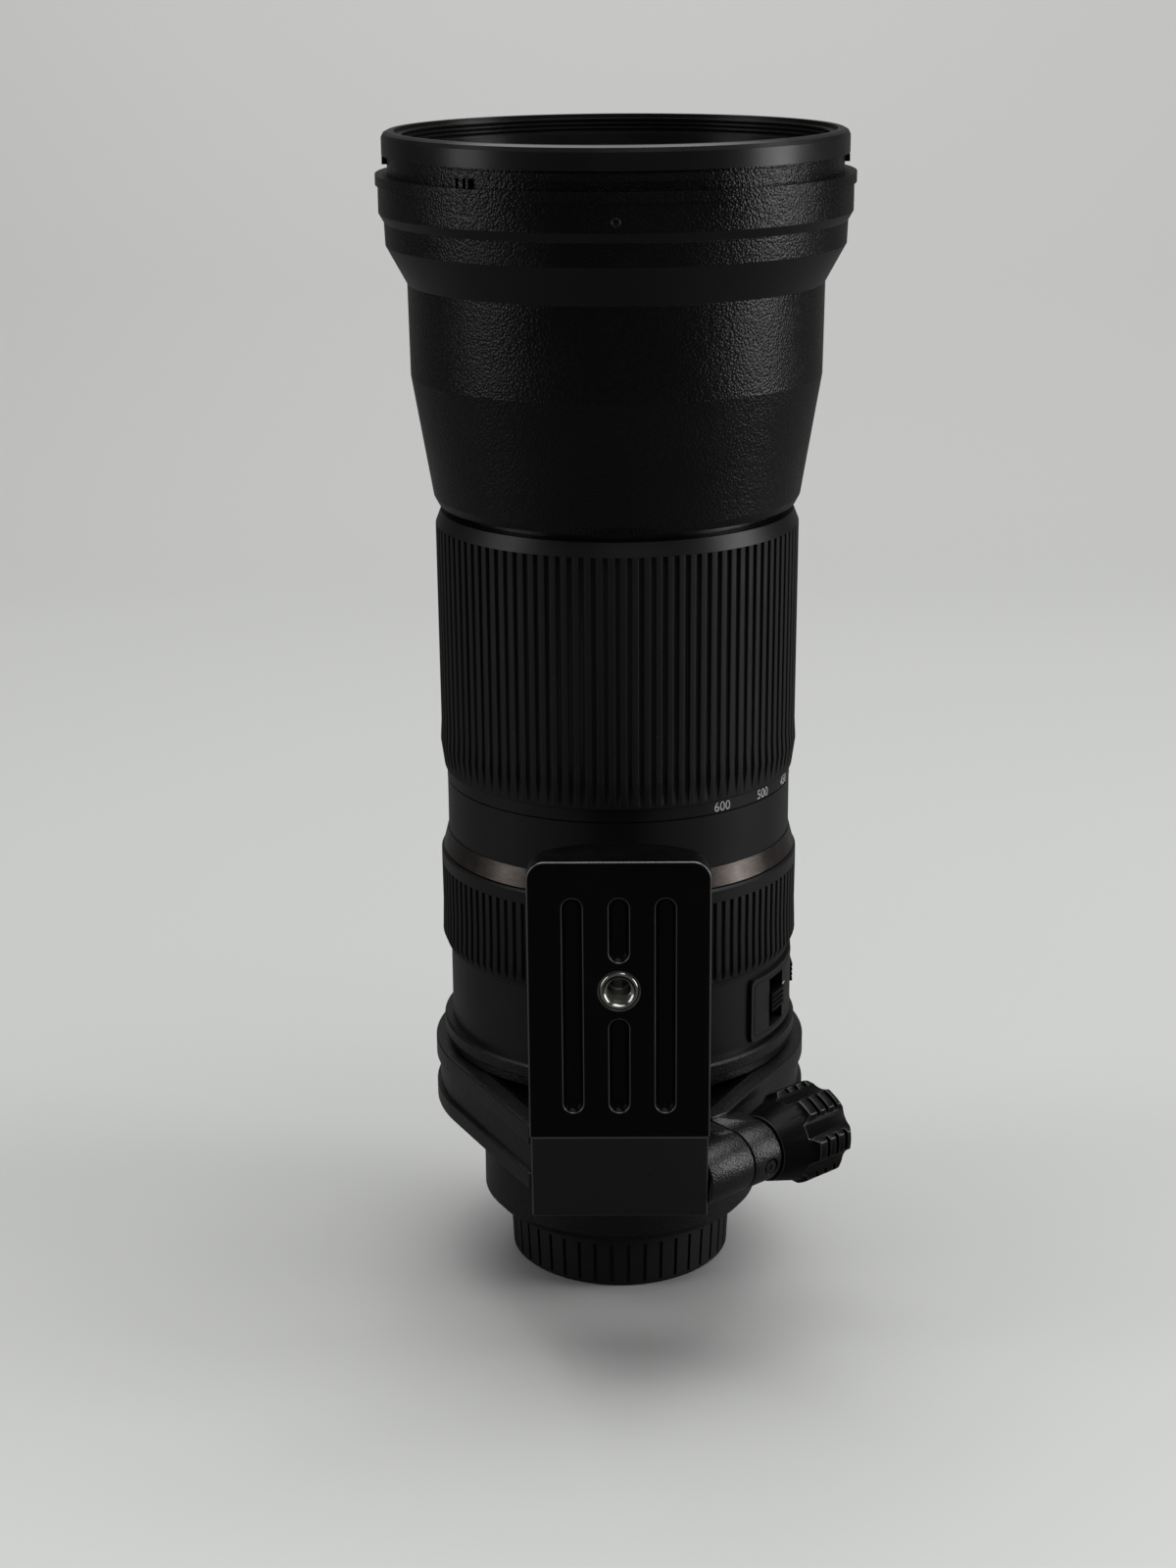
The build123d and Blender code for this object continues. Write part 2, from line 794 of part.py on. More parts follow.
zoom_outline = [
    (zoom_carrier_r, zoom_grip_z),
    (zoom_curl_r, zoom_grip_z),
    (zoom_rib_r, zoom_grip_z + zoom_flare_rise),
    (zoom_waist_r, zoom_grip_z + zoom_waist_rise),
    (zoom_rib_r, zoom_shoulder_z),
    (zoom_carrier_r, zoom_shoulder_z),
]
zoom_slot_w = 2 * math.pi * zoom_rib_r / zoom_ribs * rib_slot_share
with BuildPart() as zoom_grip:
    add(ribbed_ring(zoom_outline, zoom_ribs, zoom_rib_r, zoom_slot_w, zoom_grip_z - cut_over,
                    zoom_shoulder_z))
zoom_grip.part.label = "zoom_grip"


cam_step_turn = zoom_turn / cam_slot_steps
cam_step_rise = zoom_travel / cam_slot_steps
cam_step_run = cam_r * math.radians(cam_step_turn)
cam_slope = math.degrees(math.atan2(cam_step_rise, -cam_step_run))
with BuildPart() as cam_tube:
    revolve(ring_section([
        (cam_r - cam_t, skirt_z),
        (zoom_bore_r, skirt_z),
        (zoom_bore_r, skirt_z + cam_flange_t),
        (cam_r, skirt_z + cam_flange_t),
        (cam_r, cam_top_z),
        (cam_r - cam_t, cam_top_z),
    ]), axis=Axis.Z)
    # Each helical slot is cut as short straight slots, end to end
    for cam_slot in range(follower_count):
        slot_start = follower_az + 360 / follower_count * cam_slot
        for step in range(cam_slot_steps):
            step_az = slot_start - cam_step_turn * (step + 1 / 2)
            step_plane = Plane(
                origin=(0, 0, follower_z + cam_step_rise * (step + 1 / 2)),
                x_dir=(*polar(1, step_az + 90), 0),
                z_dir=(*polar(1, step_az), 0),
            )
            with BuildSketch(step_plane):
                SlotCenterToCenter(math.hypot(cam_step_run, cam_step_rise), cam_slot_w, rotation=cam_slope)
            extrude(amount=cam_r + cut_over, mode=Mode.SUBTRACT)
cam_tube.part.label = "cam_tube"

guide_top_z = zoom_top_z - guide_end_drop
slot_mid_z = follower_z + zoom_travel / 2
with BuildPart() as guide_tube:
    revolve(ring_section([
        (guide_bore_r, guide_z),
        (drum_bore_r, guide_z),
        (drum_bore_r, guide_z + guide_flange_t),
        (guide_r, guide_z + guide_flange_t),
        (guide_r, guide_top_z),
        (guide_bore_r, guide_top_z),
    ]), axis=Axis.Z)
    for guide_slot in range(follower_count):
        guide_az = follower_az + 360 / follower_count * guide_slot
        add(radial_box(guide_az, slot_mid_z, guide_bore_r - cut_over, guide_t + 2 * cut_over, guide_slot_w,
                       zoom_travel + guide_slot_w), mode=Mode.SUBTRACT)
guide_tube.part.label = "guide_tube"

# Front barrel and the sleeve that slides inside the zoom ring with it
taper_z = front_z + lip_h
cone_z = sleeve_top_z + front_h
cone_top_z = cone_z + cone_h
with BuildPart() as front_barrel:
    revolve(ring_section([
        (lip_r - front_wall, front_z),
        (lip_r, front_z),
        (taper_r_low, taper_z),
        (front_r, sleeve_top_z),
        (front_r_top, cone_z),
        (cone_r_top, cone_top_z),
        (band_b_r, front_top_z),
        (band_b_r - front_wall, front_top_z),
        (cone_r_top - front_wall, cone_top_z),
        (front_r_top - front_wall, cone_z),
        (front_r - front_wall, sleeve_top_z),
        (taper_r_low - front_wall, taper_z),
    ]), axis=Axis.Z)
front_barrel.part.label = "front_barrel"

flange_low_z = sleeve_top_z - sleeve_flange_t
barrel_slope = (front_r - taper_r_low) / taper_h
flange_low_r = front_r - front_wall - barrel_slope * sleeve_flange_t
with BuildPart() as extension_sleeve:
    revolve(ring_section([
        (sleeve_r - sleeve_t, sleeve_z),
        (sleeve_r, sleeve_z),
        (sleeve_r, flange_low_z),
        (flange_low_r, flange_low_z),
        (front_r - front_wall, sleeve_top_z),
        (sleeve_r - sleeve_t, sleeve_top_z),
    ]), axis=Axis.Z)
    for sleeve_hole in range(follower_count):
        hole_az = follower_az + 360 / follower_count * sleeve_hole
        with BuildSketch(Plane(origin=(0, 0, follower_z), z_dir=(*polar(1, hole_az), 0))):
            Circle(follower_r)
        extrude(amount=sleeve_r + cut_over, mode=Mode.SUBTRACT)
extension_sleeve.part.label = "extension_sleeve"

with BuildPart() as front_followers:
    for follower in range(follower_count):
        pin_az = follower_az + 360 / follower_count * follower
        pin_plane = Plane(origin=(*polar(guide_bore_r, pin_az), follower_z), z_dir=(*polar(1, pin_az), 0))
        with BuildSketch(pin_plane):
            Circle(follower_r)
        extrude(amount=sleeve_r - guide_bore_r - turn_gap)
front_followers.part.label = "front_followers"

# Hood ring: a crinkle band, a flange and three raised bayonet lugs for the hood
band_a_z = front_top_z + hood_step_h
hood_flange_z = band_a_z + band_a_h
hood_seat_z = hood_flange_z + hood_flange_h
with BuildPart() as hood_ring:
    revolve(ring_section([
        (hood_bore_r, front_top_z),
        (band_b_r, front_top_z),
        (band_a_r, band_a_z),
        (band_a_r, hood_flange_z),
        (hood_flange_r, hood_flange_z),
        (hood_flange_r, hood_seat_z),
        (hood_seat_r, hood_seat_z),
        (hood_seat_r, hood_top_z),
        (hood_bore_r, hood_top_z),
    ]), axis=Axis.Z)
    hood_lug_z = hood_top_z - hood_lug_drop - hood_lug_h
    for hood_lug in range(lug_count):
        lug_mid = foot_az + 360 / lug_count * hood_lug
        lug_span = hood_side_lug_arc if hood_lug else hood_lug_arc
        with BuildSketch(Plane.XY.offset(hood_lug_z)):
            add(arc_band(hood_seat_r - root_sink, hood_lug_r, lug_mid - lug_span / 2, lug_span))
        extrude(amount=hood_lug_h)
    stop_deg = math.degrees(hood_stop_w / hood_lug_r)
    with BuildSketch(Plane.XY.offset(hood_seat_z - root_sink)):
        add(arc_band(hood_seat_r - root_sink, hood_lug_r, hood_stop_az, stop_deg))
    extrude(amount=hood_lug_z - hood_seat_z + 2 * root_sink)
    for quarter in (1, 3):
        add(radial_box(hood_stop_az + stop_deg * quarter / 4, (hood_seat_z + hood_lug_z) / 2, hood_seat_r,
                       cut_over, hood_stop_slot_w, hood_lug_z - hood_seat_z), mode=Mode.SUBTRACT)
hood_ring.part.label = "hood_ring"

# Filter ring: rounded lip outside, threaded wall inside
mouth_z = top_z - filter_mouth_h
spigot_z = hood_top_z - filter_spigot_h
thread_crest_r = filter_thread_r - thread_depth
thread_start_z = mouth_z - thread_flat
thread_end_z = thread_start_z - thread_pitch * thread_rings
thread_outline = []
for thread_turn in range(thread_rings):
    crest_z = thread_start_z - thread_pitch * thread_turn
    thread_outline.append((filter_thread_r, crest_z - (thread_pitch - thread_flat) / 2))
    thread_outline.append((thread_crest_r, crest_z - thread_pitch + thread_flat))
    thread_outline.append((thread_crest_r, crest_z - thread_pitch))
with BuildPart() as filter_ring:
    revolve(ring_section([
        (filter_throat_r, spigot_z),
        (hood_bore_r, spigot_z),
        (hood_bore_r, hood_top_z),
        (filter_r, hood_top_z),
        (filter_r, top_z - filter_edge),
        (filter_r - filter_edge / 3, top_z - filter_edge / 3),
        (filter_r - filter_edge, top_z),
        (filter_mouth_r, top_z),
        (filter_mouth_r, mouth_z),
        (thread_crest_r, mouth_z),
        (thread_crest_r, thread_start_z),
        *thread_outline,
        (filter_throat_r, thread_end_z),
    ]), axis=Axis.Z)
filter_ring.part.label = "filter_ring"

# Front cell, its glass and the ring that holds the glass
retainer_top_z = thread_end_z - thread_clear
cell_top_z = retainer_top_z - retainer_h
glass_edge_z = cell_top_z - turn_gap - glass_edge_t
with BuildPart() as front_cell:
    revolve(ring_section([
        (cell_bore_r, sleeve_top_z),
        (cell_low_r, sleeve_top_z),
        (cell_low_r, cone_z),
        (cell_top_r, front_top_z),
        (cell_top_r, spigot_z),
        (cell_rim_r, spigot_z),
        (cell_rim_r, cell_top_z),
        (glass_r, cell_top_z),
        (glass_r, glass_edge_z),
        (cell_low_r - cell_wall, glass_edge_z - cell_wall),
        (cell_bore_r, glass_edge_z - cell_wall),
    ]), axis=Axis.Z)
front_cell.part.label = "front_cell"

with BuildPart() as front_element:
    revolve(lens_section(glass_r, glass_edge_z - glass_back_sag, glass_edge_t, glass_back_sag,
                         glass_front_sag), axis=Axis.Z)
front_element.part.label = "front_element"

with BuildPart() as front_retainer:
    revolve(ring_section([
        (retainer_r_in, cell_top_z),
        (cell_rim_r, cell_top_z),
        (cell_rim_r, retainer_top_z),
        (retainer_r_in, cell_top_z + retainer_edge_h),
    ]), axis=Axis.Z)
front_retainer.part.label = "front_retainer"


def cell_and_glass(low_z, height, cell_r, lens_r):
    """Ring with a lens in its bore: the ring's section and the lens's."""
    edge_t = height / 3
    lens_z = low_z + height / 3 - lens_bulge
    cell = band_section(lens_r, cell_r, low_z, low_z + height)
    return cell, lens_section(lens_r, lens_z, edge_t, lens_bulge, lens_bulge)


# Moving groups inside the guide tube: zoom variator, focus group and stabilizer group
variator_z = guide_z + iris_rise + variator_rise
focus_cell_z = guide_z - focus_cell_drop
frame_z = guide_z + frame_rise
stab_z = frame_z + frame_t + turn_gap
variator_parts = cell_and_glass(variator_z, variator_h, variator_r, variator_glass_r)
focus_parts = cell_and_glass(focus_cell_z, focus_cell_h, focus_cell_r, focus_glass_r)
stab_parts = cell_and_glass(stab_z, stab_h, stab_r, stab_glass_r)

with BuildPart() as variator_cell:
    revolve(variator_parts[0], axis=Axis.Z)
variator_cell.part.label = "variator_cell"

with BuildPart() as variator_element:
    revolve(variator_parts[1], axis=Axis.Z)
variator_element.part.label = "variator_element"

with BuildPart() as focus_cell:
    revolve(focus_parts[0], axis=Axis.Z)
focus_cell.part.label = "focus_cell"

with BuildPart() as focus_element:
    revolve(focus_parts[1], axis=Axis.Z)
focus_element.part.label = "focus_element"

with BuildPart() as stabilizer_frame:
    revolve(band_section(frame_bore_r, guide_bore_r, frame_z, frame_z + frame_t), axis=Axis.Z)
stabilizer_frame.part.label = "stabilizer_frame"

with BuildPart() as stabilizer_cell:
    revolve(stab_parts[0], axis=Axis.Z)
stabilizer_cell.part.label = "stabilizer_cell"

with BuildPart() as stabilizer_element:
    revolve(stab_parts[1], axis=Axis.Z)
stabilizer_element.part.label = "stabilizer_element"

# Rear group, fixed in the bore behind the mount
rear_cell_z = mount_z - rear_cell_drop
rear_glass_r = rear_cell_r - rear_cell_wall
rear_cell_top = rear_cell_z + rear_cell_h
with BuildPart() as rear_cell:
    revolve(ring_section([
        (rear_glass_r, rear_cell_z),
        (rear_cell_r, rear_cell_z),
        (rear_cell_r, rear_cell_top - rear_flange_t),
        (rear_bore_r, rear_cell_top - rear_flange_t),
        (rear_bore_r, rear_cell_top),
        (rear_glass_r, rear_cell_top),
    ]), axis=Axis.Z)
rear_cell.part.label = "rear_cell"

with BuildPart() as rear_element:
    revolve(lens_section(rear_glass_r, rear_cell_top - rear_cell_h / 2, rear_glass_t, lens_bulge, lens_bulge),
            axis=Axis.Z)
rear_element.part.label = "rear_element"

# Iris: nine thin curved blades, each in a layer of its own, on pins in the base plate
iris_z = guide_z + iris_rise
blade_low_z = iris_z + iris_plate_t
blade_stack = blade_pitch * blade_count
blade_angles = [360 / blade_count * place for place in range(blade_count)]
with BuildPart() as iris_base:
    revolve(band_section(iris_hole_r, guide_bore_r, iris_z, iris_z + iris_plate_t), axis=Axis.Z)
    with BuildSketch(Plane.XY.offset(iris_z - cut_over)):
        with bands(blade_count, blade_pivot_r):
            Circle(blade_pin_r + pin_fit)
    extrude(amount=iris_plate_t + 2 * cut_over, mode=Mode.SUBTRACT)
iris_base.part.label = "iris_base"

iris_ring_z = blade_low_z + blade_stack + turn_gap
with BuildPart() as iris_ring:
    revolve(band_section(iris_hole_r, iris_ring_r, iris_ring_z, iris_ring_z + iris_ring_t), axis=Axis.Z)
iris_ring.part.label = "iris_ring"


def iris_blade(number):
    """One blade: a curved strip with an ear outside it, on a pin that reaches the base plate."""
    azimuth = blade_angles[number]
    layer_z = blade_low_z + blade_pitch * (number + 1) - blade_t
    with BuildPart() as blade:
        with BuildSketch(Plane.XY.offset(layer_z)):
            add(arc_band(blade_in_r, blade_out_r, azimuth, blade_arc))
            with Locations(polar(blade_pivot_r, azimuth)):
                Circle(blade_ear_r)
            with Locations(polar(blade_out_r - root_sink, azimuth + math.degrees(blade_ear_r / blade_out_r))):
                Circle(blade_ear_r)
        extrude(amount=blade_t)
        with BuildSketch(Plane.XY.offset(iris_z)):
            with Locations(polar(blade_pivot_r, azimuth)):
                Circle(blade_pin_r)
        extrude(amount=layer_z - iris_z + blade_t / 2)
    blade.part.label = f"iris_blade_{number + 1}"
    return blade.part


# Tripod collar. The ring is split in two: the body carries the foot, and the arm swings open
# on a pin at the back left. Both end in halves of the clamp boss, on the front right.
arm_tilt = 90 - arm_slope
tilt_cos = math.cos(math.radians(arm_tilt))
tilt_sin = math.sin(math.radians(arm_tilt))
arm_inner_r = collar_r - arm_t
left_az = 180 + arm_tilt
right_az = -arm_tilt
half_gap = split_gap / 2
half_gap_deg = math.degrees(half_gap / collar_skirt_r)
web_bore_r = rear_r + turn_gap
web_z = collar_top_z - collar_web_h
block_x = foot_half_w_low
clamp_out = polar(1, clamp_az)
clamp_in = polar(1, clamp_az + 90)
knuckle_gap_h = collar_h - 2 * knuckle_h


def leg_x(line_r, y):
    """Distance of a collar leg's straight side from the middle, at a depth y."""
    return (line_r + y * tilt_sin) / tilt_cos


def clamp_point(out, across=0):
    """Plan point measured from the split of the clamp boss: along its axis, then across it."""
    return (
        clamp_x + out * clamp_out[0] + across * clamp_in[0],
        clamp_y + out * clamp_out[1] + across * clamp_in[1],
    )


def flat_shape(points, low_z, height):
    """Upright solid on a plan outline."""
    with BuildSketch(Plane.XY.offset(low_z)) as plan:
        with BuildLine():
            Polyline(*points, close=True)
        make_face()
    return extrude(plan.sketch, amount=height, mode=Mode.PRIVATE)


def ring_part(r_in, r_out, start, arc, low_z, height):
    """Upright piece of a ring between two angles."""
    plan = arc_band(r_in, r_out, start, arc)
    return extrude(Plane.XY.offset(low_z) * plan, amount=height, dir=(0, 0, 1), mode=Mode.PRIVATE)


def clamp_rod(radius, from_out, to_out):
    """Round solid along the clamp's axis."""
    plane = Plane(origin=(*clamp_point(from_out), collar_mid_z), x_dir=(0, 0, 1), z_dir=(*clamp_out, 0))
    with BuildSketch(plane) as end:
        Circle(radius)
    return extrude(end.sketch, amount=to_out - from_out, mode=Mode.PRIVATE)


def cross_plane(across):
    """Plane square to the clamp's axis sideways, through the small screw's middle."""
    spot = (*clamp_point(arm_screw_out, across), collar_mid_z - arm_screw_drop)
    return Plane(origin=spot, x_dir=(0, 0, 1), z_dir=(*clamp_in, 0))


def cross_rod(radius, from_across, to_across):
    """Round solid along the small screw's axis."""
    with BuildSketch(cross_plane(from_across)) as end:
        Circle(radius)
    return extrude(end.sketch, amount=to_across - from_across, mode=Mode.PRIVATE)


def upright_rod(point, radius, low_z, height):
    """Round solid that stands on a plan point."""
    with BuildSketch(Plane.XY.offset(low_z)) as end:
        with Locations(point):
            Circle(radius)
    return extrude(end.sketch, amount=height, mode=Mode.PRIVATE)


recess_floor = arm_screw_recess_d - boss_r
waist_z = collar_z + collar_low_band_h
waist_h = collar_h - collar_low_band_h - collar_top_band_h
hinge_spot = polar(hinge_r, hinge_az)
upper_knuckle_z = collar_top_z - knuckle_h
arm_knuckle_z = collar_z + knuckle_h + turn_gap
arm_knuckle_h = knuckle_gap_h - 2 * turn_gap
body_arc = left_az - hinge_az - half_gap_deg
arm_arc = hinge_az - half_gap_deg - right_az
leg_foot_x = leg_x(collar_r, foot_back_y)
leg_back_x = leg_x(arm_inner_r, foot_block_back_y)
waist_out_r = collar_r + cut_over

with BuildPart() as collar_body:
    add(ring_part(web_bore_r, collar_r, hinge_az + half_gap_deg, body_arc, web_z, collar_web_h))
    add(ring_part(collar_skirt_r, collar_r, hinge_az + half_gap_deg, body_arc, collar_z, collar_h))
    add(flat_shape([
        polar(collar_r, left_az),
        (-leg_foot_x, foot_back_y),
        (block_x, foot_back_y),
        (block_x, foot_block_back_y),
        (-leg_back_x, foot_block_back_y),
        polar(arm_inner_r, left_az),
    ], collar_z, collar_h))
    add(flat_shape([
        polar(collar_skirt_r, left_az - arm_tilt / 4),
        polar(collar_r - root_sink, left_az - arm_tilt / 4),
        polar(collar_r - root_sink, left_az),
        polar(arm_inner_r, left_az),
    ], collar_z, collar_h))
    add(flat_shape([
        (block_x - boss_r / 4, foot_block_back_y),
        clamp_point(-half_gap, boss_r),
        clamp_point(-half_gap),
        (block_x - boss_r / 4, foot_back_y),
    ], collar_mid_z - boss_r, 2 * boss_r))
    add(clamp_rod(boss_r, -boss_body_length, -half_gap))
    add(ring_part(collar_waist_r, waist_out_r, hinge_az - arm_tilt, left_az - hinge_az + arm_tilt,
                  waist_z, waist_h), mode=Mode.SUBTRACT)
    add(flat_shape([
        polar(collar_waist_r, left_az),
        polar(waist_out_r, left_az),
        (-leg_x(waist_out_r, foot_back_y - cut_over), foot_back_y - cut_over),
        (-leg_x(collar_waist_r, foot_back_y - cut_over), foot_back_y - cut_over),
    ], waist_z, waist_h), mode=Mode.SUBTRACT)
    add(upright_rod(hinge_spot, knuckle_r + turn_gap, collar_z + knuckle_h, knuckle_gap_h),
        mode=Mode.SUBTRACT)
    for knuckle_z in (collar_z, upper_knuckle_z):
        add(upright_rod(hinge_spot, knuckle_r, knuckle_z, knuckle_h))
    add(upright_rod(hinge_spot, hinge_pin_r, collar_z - cut_over, collar_h + 2 * cut_over),
        mode=Mode.SUBTRACT)
    add(clamp_rod(stud_r + thread_gap, -stud_reach - turn_gap, cut_over), mode=Mode.SUBTRACT)
    add(flat_shape([
        (-leg_foot_x, foot_back_y),
        (block_x, foot_back_y),
        (block_x, foot_front_y),
        (-leg_foot_x, foot_front_y),
    ], collar_z - cut_over, collar_h + 2 * cut_over), mode=Mode.SUBTRACT)
collar_body.part.label = "collar_body"

line_normal = (tilt_cos, -tilt_sin)
boss_edge = clamp_point(0, boss_r)
edge_reach = collar_r - boss_edge[0] * line_normal[0] - boss_edge[1] * line_normal[1]
edge_out = edge_reach / (clamp_out[0] * line_normal[0] + clamp_out[1] * line_normal[1])
inner_start = polar(arm_inner_r, right_az)
leg_dir = (-tilt_sin, -tilt_cos)
start_out = (inner_start[0] - clamp_x) * clamp_out[0] + (inner_start[1] - clamp_y) * clamp_out[1]
leg_run = (half_gap - start_out) / (leg_dir[0] * clamp_out[0] + leg_dir[1] * clamp_out[1])
inner_end = (inner_start[0] + leg_run * leg_dir[0], inner_start[1] + leg_run * leg_dir[1])

with BuildPart() as collar_arm:
    add(ring_part(web_bore_r, collar_r, right_az, arm_arc, web_z, collar_web_h))
    add(ring_part(collar_skirt_r, collar_r, right_az, arm_arc, collar_z, collar_h))
    add(flat_shape([
        polar(collar_r, right_az),
        clamp_point(edge_out, boss_r),
        clamp_point(half_gap, boss_r),
        inner_end,
        inner_start,
    ], collar_z, collar_h))
    add(flat_shape([
        polar(collar_skirt_r, right_az + arm_tilt / 4),
        polar(collar_r - root_sink, right_az + arm_tilt / 4),
        polar(collar_r - root_sink, right_az),
        inner_start,
    ], collar_z, collar_h))
    add(ring_part(collar_waist_r, waist_out_r, right_az, arm_arc + arm_tilt, waist_z, waist_h),
        mode=Mode.SUBTRACT)
    add(flat_shape([
        polar(collar_waist_r, right_az),
        polar(waist_out_r, right_az),
        (leg_x(waist_out_r, boss_edge[1]), boss_edge[1]),
        (leg_x(collar_waist_r, boss_edge[1]), boss_edge[1]),
    ], waist_z, waist_h), mode=Mode.SUBTRACT)
    add(flat_shape([
        clamp_point(half_gap, boss_r),
        clamp_point(boss_arm_length, boss_r),
        clamp_point(boss_arm_length),
        clamp_point(half_gap),
    ], collar_mid_z - boss_r, 2 * boss_r))
    add(clamp_rod(boss_r, half_gap, boss_arm_length))
    for knuckle_z in (collar_z, upper_knuckle_z):
        add(upright_rod(hinge_spot, knuckle_r + turn_gap, knuckle_z - turn_gap, knuckle_h + 2 * turn_gap),
            mode=Mode.SUBTRACT)
    add(upright_rod(hinge_spot, knuckle_r, arm_knuckle_z, arm_knuckle_h))
    add(upright_rod(hinge_spot, hinge_pin_r + pin_fit, collar_z, collar_h), mode=Mode.SUBTRACT)
    add(clamp_rod(stud_r + thread_gap, -cut_over, boss_arm_length + cut_over), mode=Mode.SUBTRACT)
    add(flat_shape([
        (0, foot_back_y),
        (block_x + turn_gap, foot_back_y),
        (block_x + turn_gap, foot_block_back_y + turn_gap),
        (0, foot_block_back_y + turn_gap),
    ], collar_z - cut_over, collar_h + 2 * cut_over), mode=Mode.SUBTRACT)
    add(cross_rod(arm_screw_recess_r, -boss_r - cut_over, recess_floor), mode=Mode.SUBTRACT)
    add(cross_rod(arm_screw_r, recess_floor - root_sink, 0), mode=Mode.SUBTRACT)
collar_arm.part.label = "collar_arm"

# Small cross-head screw that keeps the stud captive in the arm
head_top = recess_floor - arm_screw_head_t
with BuildPart() as arm_screw:
    add(cross_rod(arm_screw_head_r, head_top, recess_floor))
    add(cross_rod(arm_screw_r, recess_floor - root_sink, -stud_r - thread_gap))
    for tall, wide in ((arm_screw_cross_l, arm_screw_cross_w), (arm_screw_cross_w, arm_screw_cross_l)):
        with BuildSketch(cross_plane(head_top - root_sink)):
            Rectangle(tall, wide)
        extrude(amount=arm_screw_cross_d + root_sink, mode=Mode.SUBTRACT)
arm_screw.part.label = "arm_screw"

with BuildPart() as hinge_pin:
    add(upright_rod(hinge_spot, hinge_pin_r, collar_z, collar_h))
hinge_pin.part.label = "hinge_pin"

# Clamp knob on its stud: a conical neck, then a lobed grip
knob_start = boss_arm_length + knob_gap
knob_body_start = knob_start + knob_neck_l
knob_end = knob_body_start + knob_body_l
clamp_origin = (clamp_x, clamp_y, collar_mid_z)
clamp_plane = Plane(origin=clamp_origin, x_dir=(0, 0, 1), z_dir=(*clamp_out, 0))

with BuildPart() as clamp_stud:
    add(clamp_rod(stud_r, -stud_reach, knob_start + stud_root))
clamp_stud.part.label = "clamp_stud"

with BuildPart() as clamp_knob:
    revolve(clamp_plane * ring_section([
        (stud_r, knob_start),
        (knob_neck_r, knob_start),
        (knob_r - knob_edge, knob_body_start),
        (knob_r, knob_body_start + knob_edge),
        (knob_r, knob_end - knob_edge),
        (knob_r - knob_edge, knob_end),
        (0, knob_end),
        (0, knob_start + stud_root),
        (stud_r, knob_start + stud_root),
    ]), axis=Axis(clamp_origin, (*clamp_out, 0)))
    with BuildSketch(clamp_plane.offset(knob_body_start - knob_edge)):
        with PolarLocations(knob_r + knob_flute_r - knob_flute_depth, knob_lobes):
            Circle(knob_flute_r)
    extrude(amount=knob_body_l + knob_edge + cut_over, mode=Mode.SUBTRACT)
    for notch in range(knob_notches):
        notch_start = knob_body_start + knob_notch_first + knob_notch_step * notch
        with BuildSketch(clamp_plane.offset(notch_start)):
            Circle(knob_r + cut_over)
            Circle(knob_r - knob_notch_d, mode=Mode.SUBTRACT)
        extrude(amount=knob_notch_w, mode=Mode.SUBTRACT)
clamp_knob.part.label = "clamp_knob"

# Foot: an upright plate with an arched back on a block that stands off the collar
foot_front = Plane(origin=(0, foot_front_y, 0), x_dir=(1, 0, 0), z_dir=(0, -1, 0))
plate_back_y = foot_front_y + foot_edge_t
with BuildPart() as tripod_foot:
    with BuildSketch(Plane.XY.offset(foot_knee_z)):
        with BuildLine():
            Polyline((-foot_half_w, plate_back_y), (-foot_half_w, foot_front_y),
                     (foot_half_w, foot_front_y), (foot_half_w, plate_back_y))
            ThreePointArc((foot_half_w, plate_back_y), (0, foot_front_y + foot_mid_t),
                          (-foot_half_w, plate_back_y))
        make_face()
    extrude(amount=foot_top - foot_knee_z)
    top_edges = tripod_foot.edges().filter_by(Axis.Y).group_by(Axis.Z)[-1]
    fillet(top_edges, foot_corner)
    with BuildSketch(Plane.YZ.offset(-foot_half_w_low)):
        with BuildLine():
            Polyline(
                (foot_toe_y, collar_z),
                (foot_back_y, collar_z),
                (foot_back_y, collar_top_z),
                (foot_block_top_back_y, foot_knee_z + foot_edge_t / 2),
                (foot_front_y + foot_edge_t / 2, foot_knee_z + foot_edge_t / 2),
                (foot_front_y, foot_knee_z),
                close=True,
            )
        make_face()
    extrude(amount=2 * foot_half_w_low)
    # Round-bottomed grooves, as a ball-nosed cutter leaves them
    groove_spans = [
        (-groove_pitch, groove_low_z, groove_high_z),
        (groove_pitch, groove_low_z, groove_high_z),
        (0, groove_low_z, groove_mid_low_top_z),
        (0, groove_mid_high_z, groove_high_z),
    ]
    cutter_r = (groove_w**2 / 4 + groove_d**2) / (2 * groove_d)
    cutter_y = foot_front_y + groove_d - cutter_r
    for groove_x, low, high in groove_spans:
        with Locations((groove_x, cutter_y, (low + high) / 2)):
            Cylinder(cutter_r, high - low - groove_w, mode=Mode.SUBTRACT)
        with Locations((groove_x, cutter_y, low + groove_w / 2), (groove_x, cutter_y, high - groove_w / 2)):
            Sphere(cutter_r, mode=Mode.SUBTRACT)
    with BuildSketch(foot_front):
        with Locations((0, socket_z)):
            Circle(bush_r)
    extrude(amount=-bush_length, mode=Mode.SUBTRACT)
tripod_foot.part.label = "tripod_foot"

with BuildPart() as tripod_bush:
    with BuildSketch(foot_front):
        with Locations((0, socket_z)):
            Circle(bush_r)
    extrude(amount=-bush_length)
    with BuildSketch(foot_front):
        with Locations((0, socket_z)):
            Circle(socket_r)
    extrude(amount=-socket_depth, mode=Mode.SUBTRACT)
tripod_bush.part.label = "tripod_bush"

